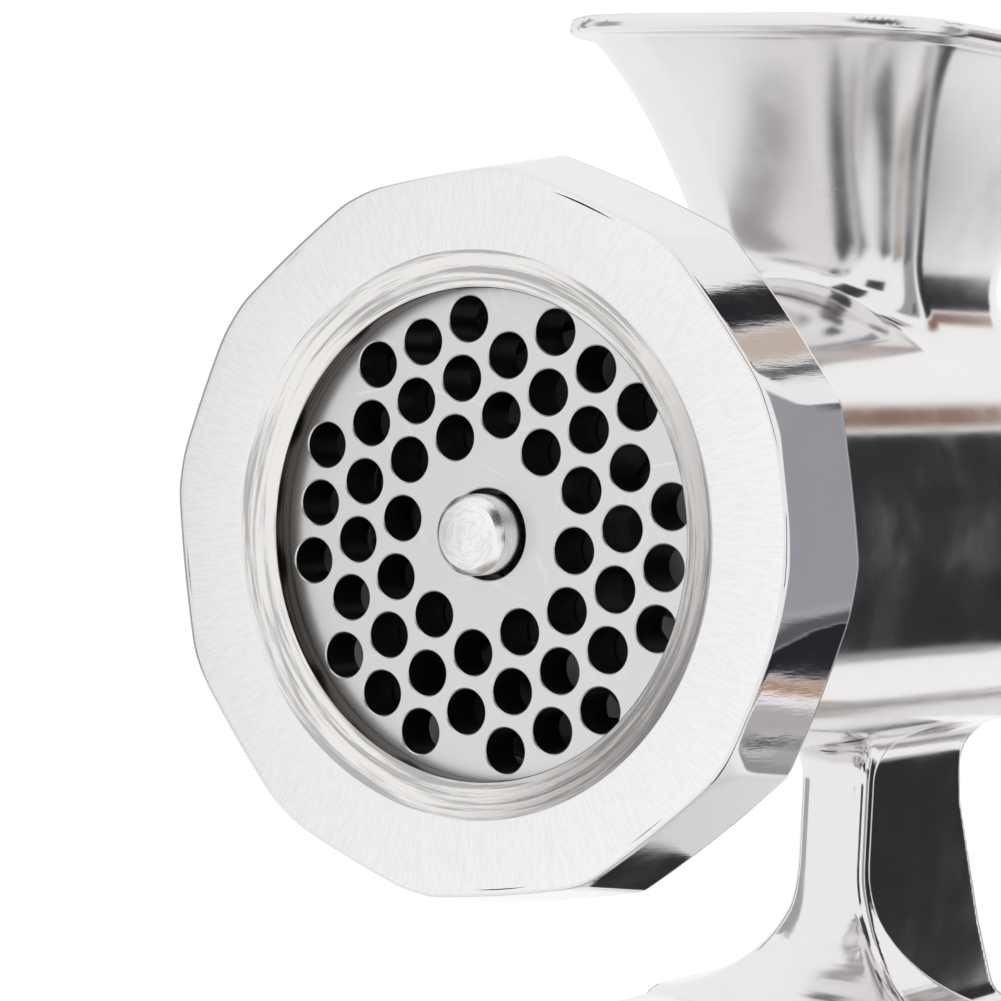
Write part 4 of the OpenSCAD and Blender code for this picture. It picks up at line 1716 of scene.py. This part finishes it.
@dataclass
class Clamp:
    """The clamp screw with its head, pad and sliding bar."""

    gap: float = 26.0
    bar_z: float = -112.0
    bar_half: float = 42.0
    bar_r: float = 3.5
    root_r: float = 5.05
    crest_r: float = 5.95
    pitch: float = 2.0

    def build(self, fitter: Fitter) -> None:
        """Builds and dresses the clamp.

        Args:
            fitter: what puts the pieces on the frame.
        """
        upright = plated("plated_clamp_screw", Axis.UP, (0.0, 0.0))
        lying = plated("plated_bar", Axis.ACROSS, (0.0, self.bar_z))
        top = -self.gap
        origin = (0.0, 0.0, 0.0)
        disc = rounded([(0.0, top - 1.2), (5.05, top - 6.0), (5.05, top - 12.0), (8.5, top - 12.0),
                        (8.5, top - 7.0), (15.0, top - 7.0), (15.0, top - 2.0), (0.0, top - 2.0)], 0.7)
        # the socket's bottom is flat
        disc[0] = (0.0, top - 6.0)
        fitter.fit(turned(disc, Axis.UP, origin), "pad_disc", "pad", [upright], ["clamp_pad"])
        face = rounded([(0.0, top - 2.0), (14.0, top - 2.0), (14.0, top), (11.5, top), (11.1, top - 0.4),
                        (9.5, top - 0.4), (9.1, top), (0.0, top)], 0.25)
        fitter.fit(turned(face, Axis.UP, origin), "pad_face", "pad", [RUBBER], ["pad_rubber"])
        fitter.fit(ScrewHead().shape(), "screw_head", "screw", [upright], ["clamp_screw"])
        fitter.fit(self.thread(), "screw_thread", "screw", [upright])
        bar = rounded([(0.0, -self.bar_half), (self.bar_r, -self.bar_half), (self.bar_r, self.bar_half),
                       (0.0, self.bar_half)], 0.4)
        middle = (0.0, 0.0, self.bar_z)
        fitter.fit(turned(bar, Axis.ACROSS, middle, 64), "sliding_bar", "bar", [lying],
                   ["tommy_bar"])
        ends = [self.cap(side) for side in (-1.0, 1.0)]
        fitter.fit(ends[0].joined(ends[1]), "sliding_bar_caps", "bar", [lying], ["bar_caps"])

    def thread(self) -> Shape:
        """Makes the threaded rod with the plain spigot that turns in the pad.

        Returns:
            The shape.
        """
        top, low = -self.gap - 12.4, self.bar_z + 6.0
        root, edge = self.root_r, self.crest_r
        crest = [(root, 0.0), (root, 0.08), (edge, 0.46), (edge, 0.54), (root, 0.92)]
        sections = threaded(crest, self.pitch, low, top, 5.0, 3.0)
        count = sections.shape[0]
        tail = np.zeros((count, 1, 2))
        tail[:, 0, 1] = low
        spigot = np.repeat(np.array([(5.0, top + 5.8), (4.6, top + 6.2), (0.0, top + 6.2)])[None], count, 0)
        return swept(np.concatenate([tail, sections, spigot], 1), Axis.UP, (0.0, 0.0, 0.0), wrap=False)

    def cap(self, side: float) -> Shape:
        """Makes one end cap, domed outwards.

        Args:
            side: -1 for the cap at -X and 1 for the other.

        Returns:
            The shape.
        """
        start = self.bar_half - 5.0
        outline = [(self.bar_r, start), (5.0, start), (5.5, start + 0.6)]
        outline += arc((2.0, start + 6.5), 3.5, 0, 90)
        outline += [(0.0, start + 10.0)]
        inner = [(0.0, start + 5.0), (self.bar_r, start + 5.0)]
        profile = [(r, side * t) for r, t in inner + outline]
        return turned(profile, Axis.ACROSS, (0.0, 0.0, self.bar_z), 64)


# ---------------------------------------------------------------- studio

@dataclass(frozen=True)
class Patch:
    """A soft patch on the mirror board: a piece of a ring round the barrel axis, in metres and degrees."""

    colour: Colour
    inner: float
    outer: float
    start_deg: float
    end_deg: float
    soft: float = 0.008
    soft_deg: float = 4.0

    def mask(self, radius: Wire, angle: Wire) -> Wire:
        """Masks the patch, softly at its edges.

        Args:
            radius: distance from the barrel axis, in metres.
            angle: in degrees from +X.

        Returns:
            1 on the patch and 0 away from it.
        """
        ring = radius.ramp(self.inner, self.inner + self.soft)
        ring = ring * radius.ramp(self.outer, self.outer - self.soft)
        ring = ring * angle.ramp(self.start_deg, self.start_deg + self.soft_deg)
        return ring * angle.ramp(self.end_deg, self.end_deg - self.soft_deg)


@dataclass(frozen=True)
class Card:
    """A coloured card that only mirrors see: where it stands, what it faces, and its size, in metres."""

    name: str
    at: tuple[float, float, float]
    aim: tuple[float, float, float]
    size: tuple[float, float]
    colour: Colour


def facing(at: Sequence[float], aim: Sequence[float], front: str) -> Euler:
    """Returns the rotation that turns a front towards a point."""
    return (Vector(aim) - Vector(at)).to_track_quat(front, "Y").to_euler()


def sheet_mesh(name: str, half_x: float, half_y: float, z: float = 0.0) -> bpy.types.Mesh:
    """Makes one level rectangle.

    Args:
        name: the mesh's name.
        half_x: half its width.
        half_y: half its depth.
        z: its height.

    Returns:
        The mesh.
    """
    mesh = bpy.data.meshes.new(name)
    corners = [(-half_x, -half_y, z), (half_x, -half_y, z), (half_x, half_y, z), (-half_x, half_y, z)]
    mesh.from_pydata(corners, [], [(0, 1, 2, 3)])
    return mesh


SHADE = (0.030, 0.029, 0.033)
STRIP = (0.10, 0.10, 0.11)
CARD_DARK = (0.05, 0.05, 0.055)
LOW_DARK = (0.04, 0.04, 0.045)
WHITE = (1.0, 1.0, 1.0, 1.0)


@dataclass
class Studio:
    """The camera, the lamps, the cards that the metal mirrors, the floor and the sky."""

    eye: tuple[float, float, float] = (0.22172, -0.40847, 0.09322)
    right: tuple[float, float, float] = (0.83085, 0.55455, 0.04645)
    up: tuple[float, float, float] = (-0.06712, 0.01699, 0.99760)
    ahead: tuple[float, float, float] = (-0.55243, 0.83197, -0.05134)
    lens_mm: float = 133.10
    # low enough for the clamp screw's bar at the end of its travel
    floor_z: float = -0.1372
    floor_half: float = 8.0
    board_y: float = 0.15
    # how strong the soft light from all sides is
    sky_level: float = 0.75
    patches: tuple[Patch, ...] = (
        # what the barrel mirrors, from below to above
        Patch(SHADE, 0.0925, 0.165, -53.0, 45.0, 0.004, 3.0),
        Patch(SHADE, 0.080, 0.165, 8.0, 45.0, 0.005, 4.0),
        Patch(SHADE, 0.080, 0.165, -53.0, -18.0, 0.005, 4.0),
        Patch(SHADE, 0.055, 0.165, -62.0, -24.0, 0.006, 3.0),
        Patch((0.36, 0.35, 0.36), 0.0925, 0.165, -64.0, -56.0, 0.005, 3.0),
        Patch((0.28, 0.17, 0.125), 0.088, 0.165, 43.0, 60.0, 0.014, 6.0),
        # what the ring nut's flats mirror, from above to below
        Patch((0.022, 0.021, 0.025), 0.20, 0.32, 61.4, 66.8, 0.01, 0.5),
        Patch((0.62, 0.53, 0.46), 0.20, 0.32, 57.4, 61.6, 0.01, 0.8),
        Patch((0.10, 0.10, 0.11), 0.20, 0.32, 55.6, 57.4, 0.01, 0.4),
        Patch((0.37, 0.37, 0.40), 0.19, 0.46, -24.0, 44.0, 0.02, 6.0),
        Patch((0.10, 0.11, 0.15), 0.225, 0.267, 20.0, 38.0, 0.008, 4.0),
        Patch((0.12, 0.12, 0.13), 0.19, 0.46, -33.0, -18.0, 0.02, 6.0),
        Patch((0.022, 0.023, 0.030), 0.19, 0.46, -37.5, -28.5, 0.02, 0.7),
        Patch((0.46, 0.24, 0.13), 0.19, 0.46, -38.9, -37.4, 0.02, 0.3),
        Patch((0.50, 0.48, 0.48), 0.19, 0.46, -43.2, -39.7, 0.02, 0.5),
        Patch((0.07, 0.065, 0.065), 0.19, 0.46, -44.6, -43.0, 0.02, 0.4),
        Patch((0.34, 0.33, 0.34), 0.19, 0.46, -62.0, -44.4, 0.02, 1.0),
    )
    cards: tuple[Card, ...] = (
        Card("left_grey_card", (-0.72, -0.49, 0.05), (0.0, -0.08, 0.069), (0.50, 0.9), (0.42, 0.41, 0.41)),
        Card("right_dark_card", (0.46, -0.43, 0.56), (0.01, -0.03, 0.09), (0.50, 0.56), CARD_DARK),
        Card("right_low_card", (0.74, -0.30, 0.04), (0.01, -0.03, 0.09), (0.34, 0.26), CARD_DARK),
        # under the ring nut, where its lowest flats and the leg mirror them
        Card("low_grey_card", (0.035, -0.11, -0.118), (0.035, -0.11, 1.0), (0.16, 0.10), (0.40, 0.38, 0.36)),
        Card("low_dark_card", (0.18, -0.025, -0.117), (0.18, -0.025, 1.0), (0.15, 0.075), LOW_DARK),
        Card("low_copper_card", (0.285, 0.07, -0.118), (0.285, 0.07, 1.0), (0.10, 0.10), (0.36, 0.30, 0.27)),
        # strips that give the other sides their dark lines
        Card("left_strip_card", (-0.95, 0.05, 0.15), (0.0, 0.03, 0.05), (0.16, 1.0), STRIP),
        Card("rear_left_strip_card", (-0.35, 0.95, 0.15), (0.0, 0.03, 0.05), (0.20, 1.0), STRIP),
        Card("rear_right_strip_card", (0.50, 0.90, 0.15), (0.0, 0.03, 0.05), (0.14, 1.0), STRIP),
    )

    def place_camera(self) -> None:
        """Adds the camera and makes it the scene's own."""
        data = bpy.data.cameras.new("studio_camera")
        data.lens = self.lens_mm
        data.sensor_width = 36.0
        data.clip_start = 0.01
        data.clip_end = 50.0
        camera = placed("studio_camera", data)
        turn = Matrix((self.right, self.up, tuple(-c for c in self.ahead))).transposed()
        camera.matrix_world = Matrix.Translation(self.eye) @ turn.to_4x4()
        bpy.context.scene.camera = camera

    @staticmethod
    def lamp(name: str, at: Sequence[float], aim: Sequence[float], side: float, watts: float) -> None:
        """Adds a soft square lamp, which gloss doesn't show.

        Args:
            name: its name.
            at: where it stands, in metres.
            aim: the point that it faces.
            side: its width and height, in metres.
            watts: its power.
        """
        data = bpy.data.lights.new(name, "AREA")
        data.shape = "RECTANGLE"
        data.size = data.size_y = side
        data.energy = watts
        lamp = placed(name, data)
        lamp.location = at
        lamp.rotation_euler = facing(at, aim, "-Z")
        lamp.visible_glossy = False

    def stand(self, card: Card) -> None:
        """Adds a card.

        Args:
            card: what it is.
        """
        sheet, bench = self.mirrored_sheet(card.name, card.size)
        sheet.location = card.at
        sheet.rotation_euler = facing(card.at, card.aim, "Z")
        bench.show(bench.glow((*card.colour, 1.0)), "ShaderNodeOutputMaterial")

    @staticmethod
    def mirrored_sheet(name: str, size: tuple[float, float]) -> tuple[bpy.types.Object, Bench]:
        """Adds a flat sheet that only mirrors see.

        Args:
            name: the sheet's name.
            size: its width and height, in metres.

        Returns:
            The sheet, and the bench of its empty material.
        """
        mesh = sheet_mesh(name, size[0] / 2, size[1] / 2)
        sheet = placed(name, mesh)
        made = bpy.data.materials.new(name)
        made.use_nodes = True
        mesh.materials.append(made)
        sheet.visible_camera = False
        sheet.visible_diffuse = False
        sheet.visible_shadow = False
        sheet.visible_transmission = False
        return sheet, Bench(made.node_tree)

    def board(self) -> None:
        """Adds the white board behind the grinder, with the patches that the metal mirrors."""
        sheet, bench = self.mirrored_sheet("mirror_board", (1.0, 1.0))
        sheet.location = (0.0, self.board_y, OUTLET[2] * MM)
        sheet.rotation_euler = (math.pi / 2, 0.0, 0.0)
        across, upward, _ = bench.parts(bench.place())
        radius = bench.span(across, upward)
        turn = bench.node("ShaderNodeMath", {"operation": "ARCTAN2"}, {0: upward, 1: across})
        angle = turn * (180 / math.pi)
        colour: Value = WHITE
        for patch in self.patches:
            colour = bench.blend(patch.mask(radius, angle), colour, patch.colour)
        bench.show(bench.glow(colour), "ShaderNodeOutputMaterial")

    def floor(self) -> None:
        """Adds the pale floor, which turns into the white background away from the grinder."""
        mesh = sheet_mesh("studio_floor", self.floor_half, self.floor_half, self.floor_z)
        floor = placed("studio_floor", mesh)
        made = bpy.data.materials.new("pale_floor")
        made.use_nodes = True
        bench = Bench(made.node_tree)
        x, y, _ = bench.parts(bench.place())
        away = bench.span(x, y)
        camera, mirrored = self.seen(bench)
        glow = (camera * away.ramp(0.28, 0.62) + mirrored * away.ramp(0.08, 0.24)).clamped()
        matt = bench.node("ShaderNodeBsdfDiffuse", inputs={"Color": (0.86, 0.86, 0.86, 1.0)})
        mixed = bench.node("ShaderNodeMixShader", inputs={0: glow, 1: matt, 2: bench.glow(WHITE)})
        bench.show(mixed, "ShaderNodeOutputMaterial")
        mesh.materials.append(made)

    @staticmethod
    def seen(bench: Bench) -> tuple[Wire, Wire]:
        """Tells the rays apart.

        Args:
            bench: the bench of the material or the world.

        Returns:
            1 for rays from the camera, and 1 for rays from gloss and through glass.
        """
        path = bench.node("ShaderNodeLightPath").socket.node
        camera, glossy, through = (Wire(bench, path.outputs[n])
                                   for n in ("Is Camera Ray", "Is Glossy Ray", "Is Transmission Ray"))
        return camera, (glossy + through).clamped()

    def sky(self) -> None:
        """Makes the world white where it is seen, and a plain soft light elsewhere."""
        world = bpy.data.worlds.new("studio_sky")
        world.use_nodes = True
        bpy.context.scene.world = world
        bench = Bench(world.node_tree)
        camera, mirrored = self.seen(bench)
        strength = self.sky_level + (camera + mirrored).clamped() * (1.0 - self.sky_level)
        light = bench.node("ShaderNodeBackground", inputs={0: WHITE, 1: strength})
        bench.show(light, "ShaderNodeOutputWorld")

    def build(self) -> None:
        """Sets up everything round the grinder."""
        bpy.context.scene.view_settings.view_transform = "Standard"
        self.sky()
        self.floor()
        self.lamp("left_window", (-0.9, -0.7, 0.8), (0.0, -0.02, 0.06), 0.9, 4.0)
        self.lamp("front_fill", (0.7, -1.2, 0.7), (0.0, 0.0, 0.03), 0.8, 2.5)
        self.board()
        for card in self.cards:
            self.stand(card)
        log.info("studio set up")


def main() -> None:
    """Builds the scene in order."""
    logging.basicConfig(level=logging.INFO, format="%(name)s %(message)s")
    studio = Studio()
    studio.place_camera()
    fitter = Fitter()
    Casting().build(fitter)
    Head().build(fitter)
    Feed().build(fitter)
    Crank().build(fitter)
    Clamp().build(fitter)
    studio.build()
    log.info("%d pieces made", len(fitter.made))


if __name__ == "__main__":
    main()
